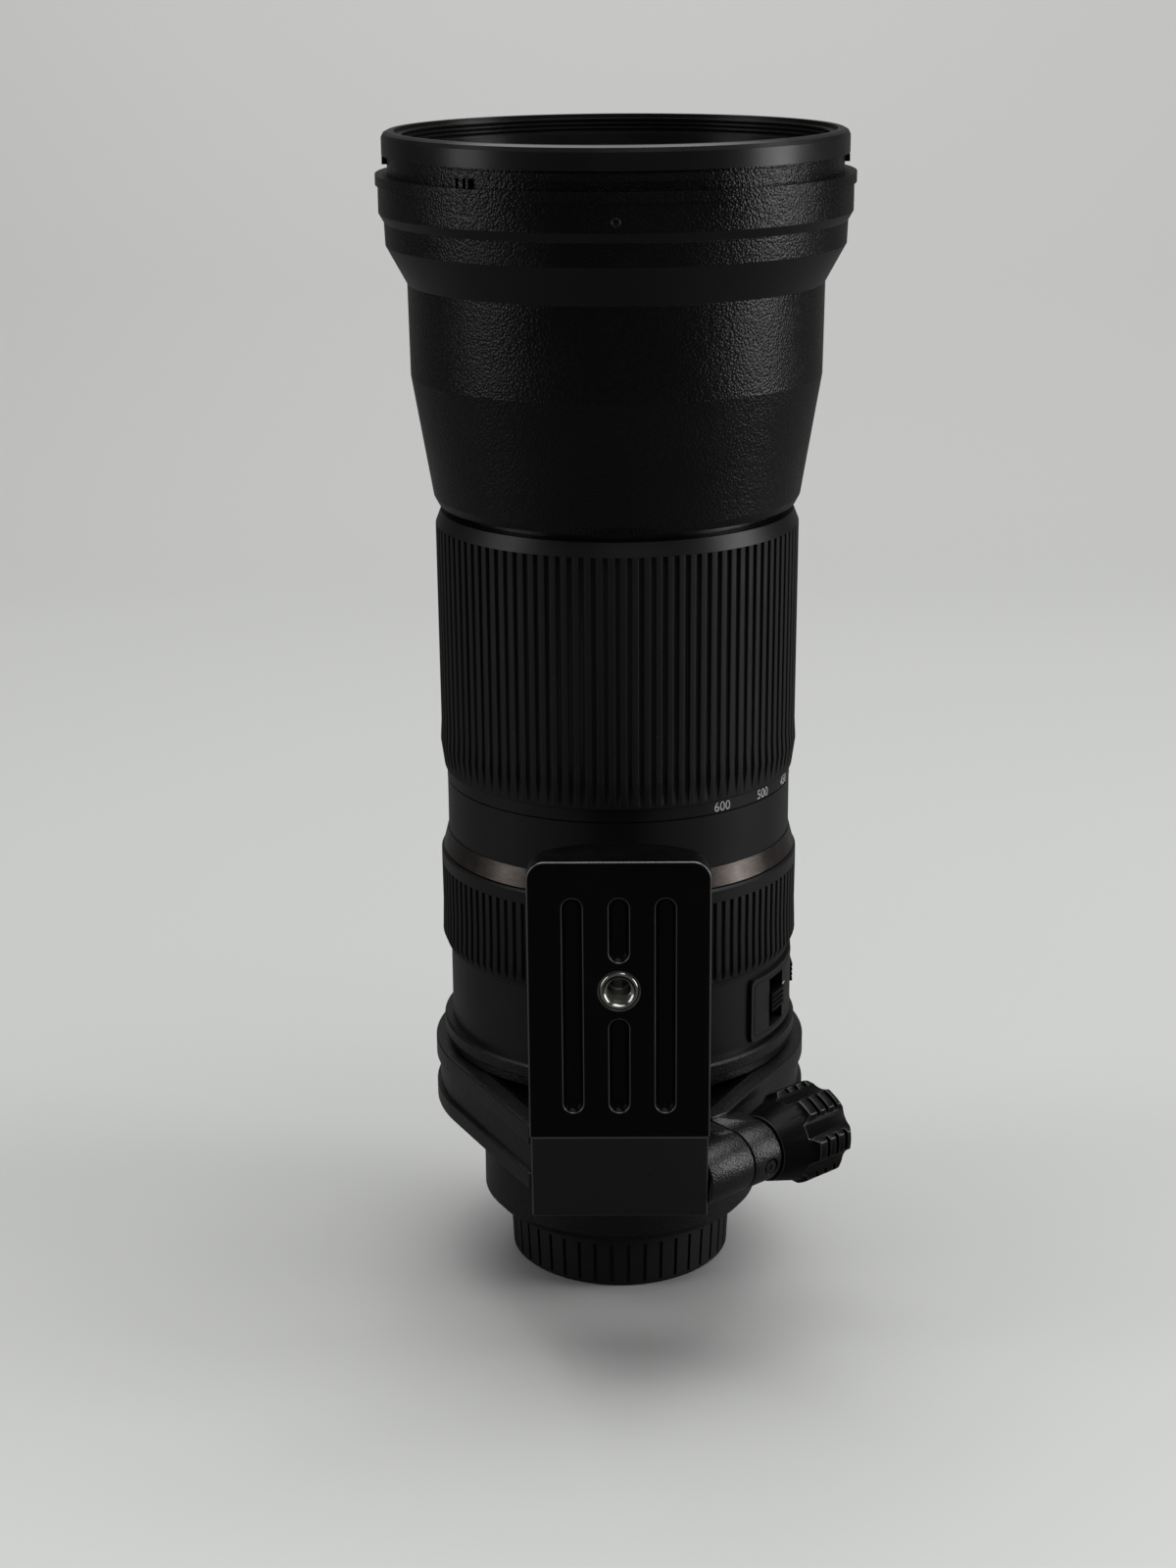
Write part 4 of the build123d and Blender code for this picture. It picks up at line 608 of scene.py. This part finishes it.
@dataclass
class Print:
    """Printed numbers and marks on a barrel."""

    shop: PaintShop
    lift: float = 0.03 * MM
    thick: float = 0.02 * MM
    cap_share: float = 0.7

    def number(self, text: str, name: str, body: str, radius: float, azimuth: float, height: float,
               tall: float) -> bpy.types.Object:
        """One printed number, bent round the barrel.

        Args:
            text: the number.
            name: the piece's name.
            body: CAD body that it rides on.
            radius: radius of the surface under it.
            azimuth: angle of its middle from +X towards +Y, in degrees.
            height: height of its middle.
            tall: height of its figures.

        Returns:
            The piece.
        """
        clear_selection()
        bpy.ops.object.text_add(location=(0, 0, 0))
        figures = bpy.context.object
        figures.data.body = text
        figures.data.size = tall / self.cap_share
        figures.data.align_x = "CENTER"
        figures.data.align_y = "CENTER"
        figures.data.extrude = self.thick
        figures.data.resolution_u = 4
        make_active(figures)
        bpy.ops.object.convert(target="MESH")
        figures = bpy.context.object
        figures.name = name
        wrap_round(figures, radius + self.lift, azimuth, height)
        return self._place(figures, body)

    def mark(self, name: str, body: str, slot: str, radius: float, azimuth: float, height: float, wide: float,
             tall: float) -> bpy.types.Object:
        """One printed bar, bent round the barrel.

        Args:
            name: the piece's name.
            body: CAD body that it rides on.
            slot: the record's material slot; not used.
            radius: radius of the surface under it.
            azimuth: angle of its middle from +X towards +Y, in degrees.
            height: height of its middle.
            wide: its width round the barrel.
            tall: its height.

        Returns:
            The piece.
        """
        clear_selection()
        bpy.ops.mesh.primitive_plane_add(size=1, location=(0, 0, 0))
        bar = bpy.context.object
        bar.name = name
        bar.dimensions = (wide, tall, 0)
        settle(bar)
        bpy.ops.object.mode_set(mode="EDIT")
        bpy.ops.mesh.select_all(action="SELECT")
        bpy.ops.mesh.subdivide(number_cuts=3)
        bpy.ops.mesh.extrude_region_move(TRANSFORM_OT_translate={"value": (0, 0, self.thick)})
        bpy.ops.mesh.select_all(action="SELECT")
        bpy.ops.mesh.normals_make_consistent(inside=False)
        bpy.ops.object.mode_set(mode="OBJECT")
        wrap_round(bar, radius + self.lift, azimuth, height)
        return self._place(bar, body)

    def _place(self, piece: bpy.types.Object, body: str) -> bpy.types.Object:
        """Dresses a print in white ink and lets it ride."""
        dress(piece, self.shop.material(PRINT_WHITE))
        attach(piece, body)
        return piece


@dataclass
class CadDress:
    """Finishes for the CAD nodes whose shapes stay as they are."""

    shop: PaintShop
    nodes: dict[str, bpy.types.Object]
    finishes: dict[str, Finish] = field(default_factory=lambda: {
        "rear_cap": CAP_BLACK, "mount_screws": BRIGHT_STEEL, "mount_plate": BRIGHT_STEEL,
        "contact_block": CONTACT_BLACK, "rear_barrel": COLLAR_CRINKLE, "switch_barrel": BARREL_BLACK,
        "switch_panel": PANEL_BLACK, "stabilizer_switch": KNOB_BLACK, "focus_mode_switch": KNOB_BLACK,
        "focus_limit_switch": KNOB_BLACK, "middle_barrel": BARREL_BLACK, "zoom_lock_switch": KNOB_BLACK,
        "accent_ring": ACCENT_BROWN, "focus_ring": BARREL_BLACK, "focus_grip": RUBBER_GREY,
        "motor_rotor": DARK_STEEL, "distance_scale": INNER_BLACK, "motor_stator": DARK_STEEL,
        "main_board": BOARD_GREEN, "zoom_ring": BARREL_BLACK, "zoom_grip": RUBBER_GREY,
        "cam_tube": DARK_STEEL, "guide_tube": DARK_STEEL, "front_barrel": CRINKLE_BLACK,
        "extension_sleeve": DARK_STEEL, "front_followers": BRIGHT_STEEL, "hood_ring": CRINKLE_BLACK,
        "filter_ring": LIP_BLACK, "front_cell": INNER_BLACK, "front_retainer": THROAT_BLACK,
        "variator_cell": INNER_BLACK, "focus_cell": INNER_BLACK, "stabilizer_frame": INNER_BLACK,
        "stabilizer_cell": INNER_BLACK, "rear_cell": INNER_BLACK, "iris_base": INNER_BLACK,
        "iris_ring": DARK_STEEL, "collar_body": COLLAR_CRINKLE, "collar_arm": COLLAR_CRINKLE,
        "arm_screw": DARK_STEEL, "hinge_pin": BRIGHT_STEEL, "clamp_stud": BRIGHT_STEEL,
        "clamp_knob": KNOB_BLACK, "tripod_foot": FOOT_BLACK_AND_PAINTED_LIGHT, "tripod_bush": BUSH_CHROME,
    })

    def build(self) -> None:
        """Dresses every CAD node."""
        for name, node in self.nodes.items():
            if name.endswith("_element") or name == "distance_window":
                tint = WINDOW_CLEAR if name == "distance_window" else GLASS_CLEAR
                dress(node, self.shop.glass(f"glass of {name}", tint))
            else:
                dress(node, self.shop.material(self.finishes.get(name, DARK_STEEL)))
        log.info("dressed %d CAD nodes", len(self.nodes))


@dataclass(frozen=True)
class SoftEdge:
    """How one CAD node is shown with its sharp edges broken."""

    node: str
    body: str
    slot: str
    width_mm: float
    finish: Finish
    edge: Finish
    fine_deg: float = 0.0


@dataclass
class SoftenedParts:
    """Cast and moulded parts, shown as copies of their CAD nodes with rounded edges."""

    shop: PaintShop
    nodes: dict[str, bpy.types.Object]
    segments: int = 3
    merge_mm: float = 0.002
    flat_deg: float = 0.6
    sharp_deg: float = 38.0
    fine_weight: float = 0.5
    smooth_deg: float = 40.0
    plans: tuple[SoftEdge, ...] = (
        SoftEdge("tripod_foot", "collar", "foot_metal", 0.32, FOOT_BLACK_AND_PAINTED_LIGHT, FOOT_EDGE, fine_deg=85.0),
        SoftEdge("clamp_knob", "knob", "knob_plastic", 0.2, KNOB_BLACK, KNOB_EDGE),
        SoftEdge("zoom_grip", "zoom", "grip_rubber", 0.18, RUBBER_GREY, RUBBER_GREY),
        SoftEdge("focus_grip", "focus", "grip_rubber", 0.18, RUBBER_GREY, RUBBER_GREY),
        SoftEdge("collar_body", "collar", "crinkle_metal", 0.25, COLLAR_CRINKLE, COLLAR_EDGE),
        SoftEdge("collar_arm", "arm", "crinkle_metal", 0.25, COLLAR_CRINKLE, COLLAR_EDGE),
        SoftEdge("stabilizer_switch", "stabilizer_button", "switch_plastic", 0.12, KNOB_BLACK, KNOB_BLACK),
        SoftEdge("focus_mode_switch", "focus_mode_button", "switch_plastic", 0.12, KNOB_BLACK, KNOB_BLACK),
        SoftEdge("focus_limit_switch", "focus_limit_button", "switch_plastic", 0.12, KNOB_BLACK, KNOB_BLACK),
    )

    def build(self) -> None:
        """Makes every softened copy."""
        for plan in self.plans:
            self._soften(plan)
        log.info("softened %d parts", len(self.plans))

    def _soften(self, plan: SoftEdge) -> bpy.types.Object:
        """Copies one node's mesh, joins its loose triangles and rounds its edges.

        Args:
            plan: the node and how its edges are broken.

        Returns:
            The piece that stands for the node.
        """
        piece = bpy.data.objects.new(f"{plan.node}_shown", self.nodes[plan.node].data.copy())
        bpy.context.scene.collection.objects.link(piece)
        make_active(piece)
        bpy.ops.object.mode_set(mode="EDIT")
        bpy.ops.mesh.select_all(action="SELECT")
        bpy.ops.mesh.remove_doubles(threshold=self.merge_mm * MM)
        bpy.ops.mesh.dissolve_limited(angle_limit=math.radians(self.flat_deg))
        self._weigh_edges(piece, plan)
        bpy.ops.object.mode_set(mode="OBJECT")
        piece.data.materials.clear()
        piece.data.materials.append(self.shop.material(plan.finish))
        piece.data.materials.append(self.shop.material(plan.edge))
        rounding = piece.modifiers.new("rounding", "BEVEL")
        rounding.width = plan.width_mm * MM
        rounding.segments = self.segments
        rounding.limit_method = "WEIGHT"
        rounding.use_clamp_overlap = False
        rounding.loop_slide = False
        rounding.material = 1
        apply_all(piece)
        bpy.ops.object.shade_smooth_by_angle(angle=math.radians(self.smooth_deg))
        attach(piece, plan.body)
        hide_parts(plan.node)
        return piece

    def _weigh_edges(self, piece: bpy.types.Object, plan: SoftEdge) -> None:
        """Marks the outward sharp edges that the rounding takes, in edit mode.

        Args:
            piece: the copy, in edit mode.
            plan: the angle under which those edges are rounded less widely.
        """
        mesh = bmesh.from_edit_mesh(piece.data)
        weight = mesh.edges.layers.float.new("bevel_weight_edge")
        for edge in mesh.edges:
            turn = math.degrees(edge.calc_face_angle_signed(0.0))
            if turn > self.sharp_deg:
                edge[weight] = 1.0 if turn >= plan.fine_deg else self.fine_weight
        bmesh.update_edit_mesh(piece.data)


def turned_piece(name: str, profile: tuple[tuple[float, float], ...], sides: int) -> bpy.types.Object:
    """Turned piece about the Z axis, drawn ring by ring and closed at both ends.

    Args:
        name: the piece's name.
        profile: radius and height of each ring, in millimetres.
        sides: number of sides of each ring.

    Returns:
        The piece.
    """
    clear_selection()
    radius, height = profile[0]
    bpy.ops.mesh.primitive_circle_add(vertices=sides, radius=radius * MM, location=(0, 0, height * MM))
    piece = bpy.context.object
    piece.name = name
    bpy.ops.object.mode_set(mode="EDIT")
    bpy.ops.mesh.select_all(action="SELECT")
    for next_radius, next_height in profile[1:]:
        rise = (next_height - height) * MM
        bpy.ops.mesh.extrude_edges_move(TRANSFORM_OT_translate={"value": (0, 0, rise)})
        grow = next_radius / radius
        bpy.ops.transform.resize(value=(grow, grow, 1.0))
        radius, height = next_radius, next_height
    bpy.ops.mesh.select_all(action="SELECT")
    bpy.ops.mesh.fill_holes(sides=0)
    bpy.ops.mesh.select_all(action="SELECT")
    bpy.ops.mesh.normals_make_consistent(inside=False)
    bpy.ops.object.mode_set(mode="OBJECT")
    settle(piece)
    return piece


@dataclass
class TripodBush:
    """Plated bush in the foot, with a chamfered mouth and its thread's rings."""

    shop: PaintShop
    outer: float = 4.3
    crest: float = 2.6
    root: float = 3.1
    pitch: float = 1.27
    turns: int = 5
    core: float = 0.4
    depth: float = 8.9
    thread_end: float = 7.9
    mouth: float = 0.9
    sides: int = 72
    smooth_deg: float = 30.0
    front_y: float = -74.0
    middle_z: float = 95.0

    def build(self) -> None:
        """Makes the bush and stands it in the foot."""
        rings: list[tuple[float, float]] = [
            (self.core, -self.depth), (self.outer, -self.depth), (self.outer, -0.3),
            (self.outer - 0.3, 0.0), (self.outer - 0.75, 0.0), (self.root + 0.1, -0.55),
            (self.crest, -self.mouth),
        ]
        for turn in range(self.turns):
            start = -self.mouth - self.pitch * turn
            rings += [(self.crest, start - 0.15), (self.root, start - 0.55), (self.root, start - 0.75),
                      (self.crest, start - self.pitch + 0.12)]
        rings += [(self.crest, -self.thread_end), (self.core, -self.thread_end)]
        bush = turned_piece("tripod_bush_shown", tuple(rings), self.sides)
        bush.rotation_euler = (math.radians(90), 0.0, 0.0)
        bush.location = (0.0, self.front_y * MM, self.middle_z * MM)
        settle(bush)
        make_active(bush)
        bpy.ops.object.shade_smooth_by_angle(angle=math.radians(self.smooth_deg))
        dress(bush, self.shop.material(BUSH_CHROME))
        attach(bush, "collar")
        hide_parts("tripod_bush")
        log.info("turned the tripod bush")


@dataclass
class PanelTrim:
    """Raised border and white marks of the switch panel, and the screw cover on the hood ring."""

    shop: PaintShop
    radius: float = 41.0
    start: float = -41.7
    arc: float = 90.0
    middle_z: float = 70.8
    height: float = 15.4
    inset: float = 1.1
    line: float = 0.28
    corner: float = 1.2
    corner_segments: int = 5
    rise: float = 0.1
    sunk: float = 0.02
    cuts: int = 40
    mark_az: float = -19.4
    mark_step: float = 29.0
    mark_rise: float = 2.2
    mark_wide: float = 1.5
    mark_tall: float = 0.45
    cover_sides: int = 32
    cover_place: Point = (0.0, -52.3, 253.2)
    cover_profile: tuple[tuple[float, float], ...] = (
        (0.1, -0.4), (1.0, -0.4), (1.0, 0.02), (0.9, 0.1), (0.7, 0.1), (0.6, 0.0), (0.1, 0.0),
    )

    def build(self) -> None:
        """Makes the border, the switch marks and the cover."""
        self._border()
        ink = Print(self.shop)
        for place, name in enumerate(("stabilizer", "focus_mode", "focus_limit")):
            ink.mark(f"{name}_mark", "fixed_barrel", "switch_plastic", self.radius * MM,
                     self.mark_az + self.mark_step * place, (self.middle_z + self.mark_rise) * MM,
                     self.mark_wide * MM, self.mark_tall * MM)
        self._cover()
        log.info("trimmed the switch panel")

    def _border(self) -> None:
        """Thin raised line with rounded corners, just inside the panel's edge."""
        clear_selection()
        wide = math.radians(self.arc) * self.radius - 2 * self.inset
        bpy.ops.mesh.primitive_plane_add(size=1, location=(0, 0, 0))
        border = bpy.context.object
        border.name = "panel_border"
        border.dimensions = (wide * MM, (self.height - 2 * self.inset) * MM, 0)
        settle(border)
        bpy.ops.object.mode_set(mode="EDIT")
        bpy.ops.mesh.select_all(action="SELECT")
        bpy.ops.mesh.bevel(offset=self.corner * MM, segments=self.corner_segments, affect="VERTICES")
        bpy.ops.mesh.select_all(action="SELECT")
        bpy.ops.mesh.inset(thickness=self.line * MM)
        bpy.ops.mesh.delete(type="FACE")
        bpy.ops.mesh.select_all(action="SELECT")
        bpy.ops.mesh.extrude_region_move(TRANSFORM_OT_translate={"value": (0, 0, self.rise * MM)})
        for cut in range(1, self.cuts):
            bpy.ops.mesh.select_all(action="SELECT")
            bpy.ops.mesh.bisect(plane_co=((cut / self.cuts - 0.5) * wide * MM, 0, 0), plane_no=(1, 0, 0))
        bpy.ops.mesh.select_all(action="SELECT")
        bpy.ops.mesh.normals_make_consistent(inside=False)
        bpy.ops.object.mode_set(mode="OBJECT")
        wrap_round(border, (self.radius - self.sunk) * MM, self.start + self.arc / 2, self.middle_z * MM)
        dress(border, self.shop.material(BARREL_BLACK))
        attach(border, "fixed_barrel")

    def _cover(self) -> None:
        """Small round cover with a sunk middle on the band under the hood's seat."""
        cover = turned_piece("hood_ring_cover", self.cover_profile, self.cover_sides)
        cover.rotation_euler = (math.radians(90), 0.0, 0.0)
        cover.location = [value * MM for value in self.cover_place]
        settle(cover)
        dress(cover, self.shop.material(LIP_BLACK))
        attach(cover, "front")


@dataclass
class DistanceScale:
    """Distances printed on the turning scale behind the window, and the window's index line."""

    shop: PaintShop
    radius: float = 37.6 * MM
    number_z: float = 72.4 * MM
    number_tall: float = 2.0 * MM
    tick_z: float = 69.6 * MM
    tick_size: tuple[float, float] = (0.3 * MM, 1.4 * MM)
    index_place: Point = (40.0 * MM, 90.0, 64.6 * MM)
    index_size: tuple[float, float] = (0.5 * MM, 1.8 * MM)
    numbers: tuple[tuple[str, float], ...] = (
        ("2.7", 76.0), ("3", 84.0), ("4", 92.0), ("5", 100.0), ("10", 112.0), ("30", 126.0),
    )

    def build(self) -> None:
        """Prints the scale."""
        ink = Print(self.shop)
        for text, azimuth in self.numbers:
            place = text.replace(".", "_")
            ink.number(text, f"distance_number_{place}", "focus", self.radius, azimuth,
                       self.number_z, self.number_tall)
            ink.mark(f"distance_tick_{place}", "focus", "scale_plastic", self.radius, azimuth, self.tick_z,
                     *self.tick_size)
        ink.mark("distance_index", "fixed_barrel", "barrel_plastic", *self.index_place, *self.index_size)
        log.info("printed the distance scale")


@dataclass
class ZoomScale:
    """Focal lengths printed round the foot of the zoom ring, and the line they are read at."""

    shop: PaintShop
    radius: float = 40.05 * MM
    height: float = 122.75 * MM
    tall: float = 2.15 * MM
    index_place: Point = (40.0 * MM, 90.0, 119.4 * MM)
    index_size: tuple[float, float] = (0.5 * MM, 2.6 * MM)
    numbers: tuple[tuple[str, float], ...] = (
        ("600", -54.5), ("500", -35.2), ("450", -18.5), ("400", -4.0), ("300", 24.0), ("250", 38.0),
        ("200", 56.0), ("180", 70.0), ("150", 88.0),
    )

    def build(self) -> None:
        """Prints the numbers and the index line."""
        ink = Print(self.shop)
        for text, azimuth in self.numbers:
            ink.number(text, f"zoom_number_{text}", "zoom", self.radius, azimuth,
                       self.height, self.tall)
        ink.mark("zoom_index_line", "fixed_barrel", "barrel_plastic", *self.index_place, *self.index_size)
        log.info("printed the zoom scale")


@dataclass
class Camera:
    """The photograph's camera, fitted to the lens's rings."""

    focal_px: float = 2770.45
    long_side_px: float = 1600.0
    sensor_mm: float = 36.0
    clip: tuple[float, float] = (0.01, 50.0)
    yaw: float = math.radians(-0.668)
    pitch: float = math.radians(17.454)
    roll: float = math.radians(0.4388)
    place: Point = (0.0, -0.61016, 0.30973)

    def build(self) -> None:
        """Makes the camera."""
        ahead = Vector((math.sin(self.yaw) * math.cos(self.pitch), math.cos(self.yaw) * math.cos(self.pitch),
                        -math.sin(self.pitch)))
        side = Vector((math.cos(self.yaw), -math.sin(self.yaw), 0.0))
        above = side.cross(ahead)
        right = side * math.cos(self.roll) - above * math.sin(self.roll)
        up = side * math.sin(self.roll) + above * math.cos(self.roll)
        data = bpy.data.cameras.new("photo_camera")
        data.sensor_width = self.sensor_mm
        data.lens = self.focal_px / self.long_side_px * data.sensor_width
        data.clip_start, data.clip_end = self.clip
        camera = bpy.data.objects.new("photo_camera", data)
        bpy.context.scene.collection.objects.link(camera)
        camera.matrix_world = Matrix((
            (right.x, up.x, -ahead.x, self.place[0]),
            (right.y, up.y, -ahead.y, self.place[1]),
            (right.z, up.z, -ahead.z, self.place[2]),
            (0.0, 0.0, 0.0, 1.0),
        ))
        bpy.context.scene.camera = camera


@dataclass(frozen=True)
class Lamp:
    """One soft rectangular lamp: its place, the point it faces, its size in metres and its power."""

    name: str
    place: Point
    aim: Point
    wide: float
    tall: float
    watts: float


@dataclass
class Studio:
    """Floor, wall and soft lamps."""

    shop: PaintShop
    floor_half: float = 3.0
    wall_y: float = 1.6
    wall_height: float = 3.0
    bend: float = 0.9
    bend_segments: int = 24
    room_colour: Colour = (0.86, 0.87, 0.88)
    room_strength: float = 0.08
    lamps: tuple[Lamp, ...] = (
        Lamp("left_window", (-1.3, -0.35, 0.55), (0.0, 0.0, 0.2), 0.5, 1.0, 3.5),
        Lamp("right_window", (1.3, -0.15, 0.45), (0.0, 0.0, 0.2), 0.5, 1.0, 8.0),
        Lamp("ceiling", (0.1, 0.3, 1.6), (0.0, 0.1, 0.0), 2.0, 1.7, 30.0),
        Lamp("front_fill", (0.2, -1.8, 1.1), (0.0, 0.0, 0.15), 1.2, 0.9, 0.8),
    )

    def build(self) -> None:
        """Makes the floor and the lights."""
        self._floor()
        world = bpy.data.worlds.new("soft_room")
        bpy.context.scene.world = world
        world.use_nodes = True
        background = world.node_tree.nodes["Background"]
        background.inputs["Color"].default_value = (*self.room_colour, 1.0)
        background.inputs["Strength"].default_value = self.room_strength
        for lamp in self.lamps:
            self._hang(lamp)
        bpy.context.scene.view_settings.view_transform = "Standard"

    def _floor(self) -> None:
        """Floor sheet that bends up into the wall."""
        clear_selection()
        bpy.ops.mesh.primitive_plane_add(size=1, location=(0, 0, 0))
        sheet = bpy.context.object
        sheet.name = "floor_sheet"
        sheet.dimensions = (2 * self.floor_half, self.floor_half + self.wall_y, 0)
        sheet.location = (0, (self.wall_y - self.floor_half) / 2, 0)
        settle(sheet)
        bpy.ops.object.mode_set(mode="EDIT")
        bpy.ops.mesh.select_mode(type="EDGE")
        bpy.ops.mesh.select_all(action="DESELECT")
        mesh = bmesh.from_edit_mesh(sheet.data)
        for edge in mesh.edges:
            edge.select_set(all(vertex.co.y > self.wall_y - 0.01 for vertex in edge.verts))
        bmesh.update_edit_mesh(sheet.data)
        bpy.ops.mesh.extrude_region_move(TRANSFORM_OT_translate={"value": (0, 0, self.wall_height)})
        bpy.ops.object.mode_set(mode="OBJECT")
        bevel = sheet.modifiers.new("sweep", "BEVEL")
        bevel.width = self.bend
        bevel.segments = self.bend_segments
        bevel.limit_method = "ANGLE"
        bevel.angle_limit = math.radians(60)
        apply_all(sheet)
        bpy.ops.object.shade_smooth()
        dress(sheet, self.shop.floor())

    @staticmethod
    def _hang(lamp: Lamp) -> None:
        """Makes one lamp and turns it to the point it faces.

        Args:
            lamp: the lamp.
        """
        data = bpy.data.lights.new(lamp.name, "AREA")
        data.shape = "RECTANGLE"
        data.size = lamp.wide
        data.size_y = lamp.tall
        data.energy = lamp.watts
        hung = bpy.data.objects.new(lamp.name, data)
        bpy.context.scene.collection.objects.link(hung)
        hung.location = lamp.place
        hung.rotation_euler = (Vector(lamp.aim) - Vector(lamp.place)).to_track_quat("-Z", "Y").to_euler()


def write_sizes() -> None:
    """Brings the scene's placements up to date."""
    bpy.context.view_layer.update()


def main() -> None:
    """Builds the camera, the room and every sub-assembly in order."""
    logging.basicConfig(level=logging.INFO)
    shop = PaintShop()
    Camera().build()
    Studio(shop).build()
    CadDress(shop, frame["nodes"]).build()
    SoftenedParts(shop, frame["nodes"]).build()
    TripodBush(shop).build()
    PanelTrim(shop).build()
    DistanceScale(shop).build()
    ZoomScale(shop).build()
    write_sizes()


if __name__ == "__main__":
    main()
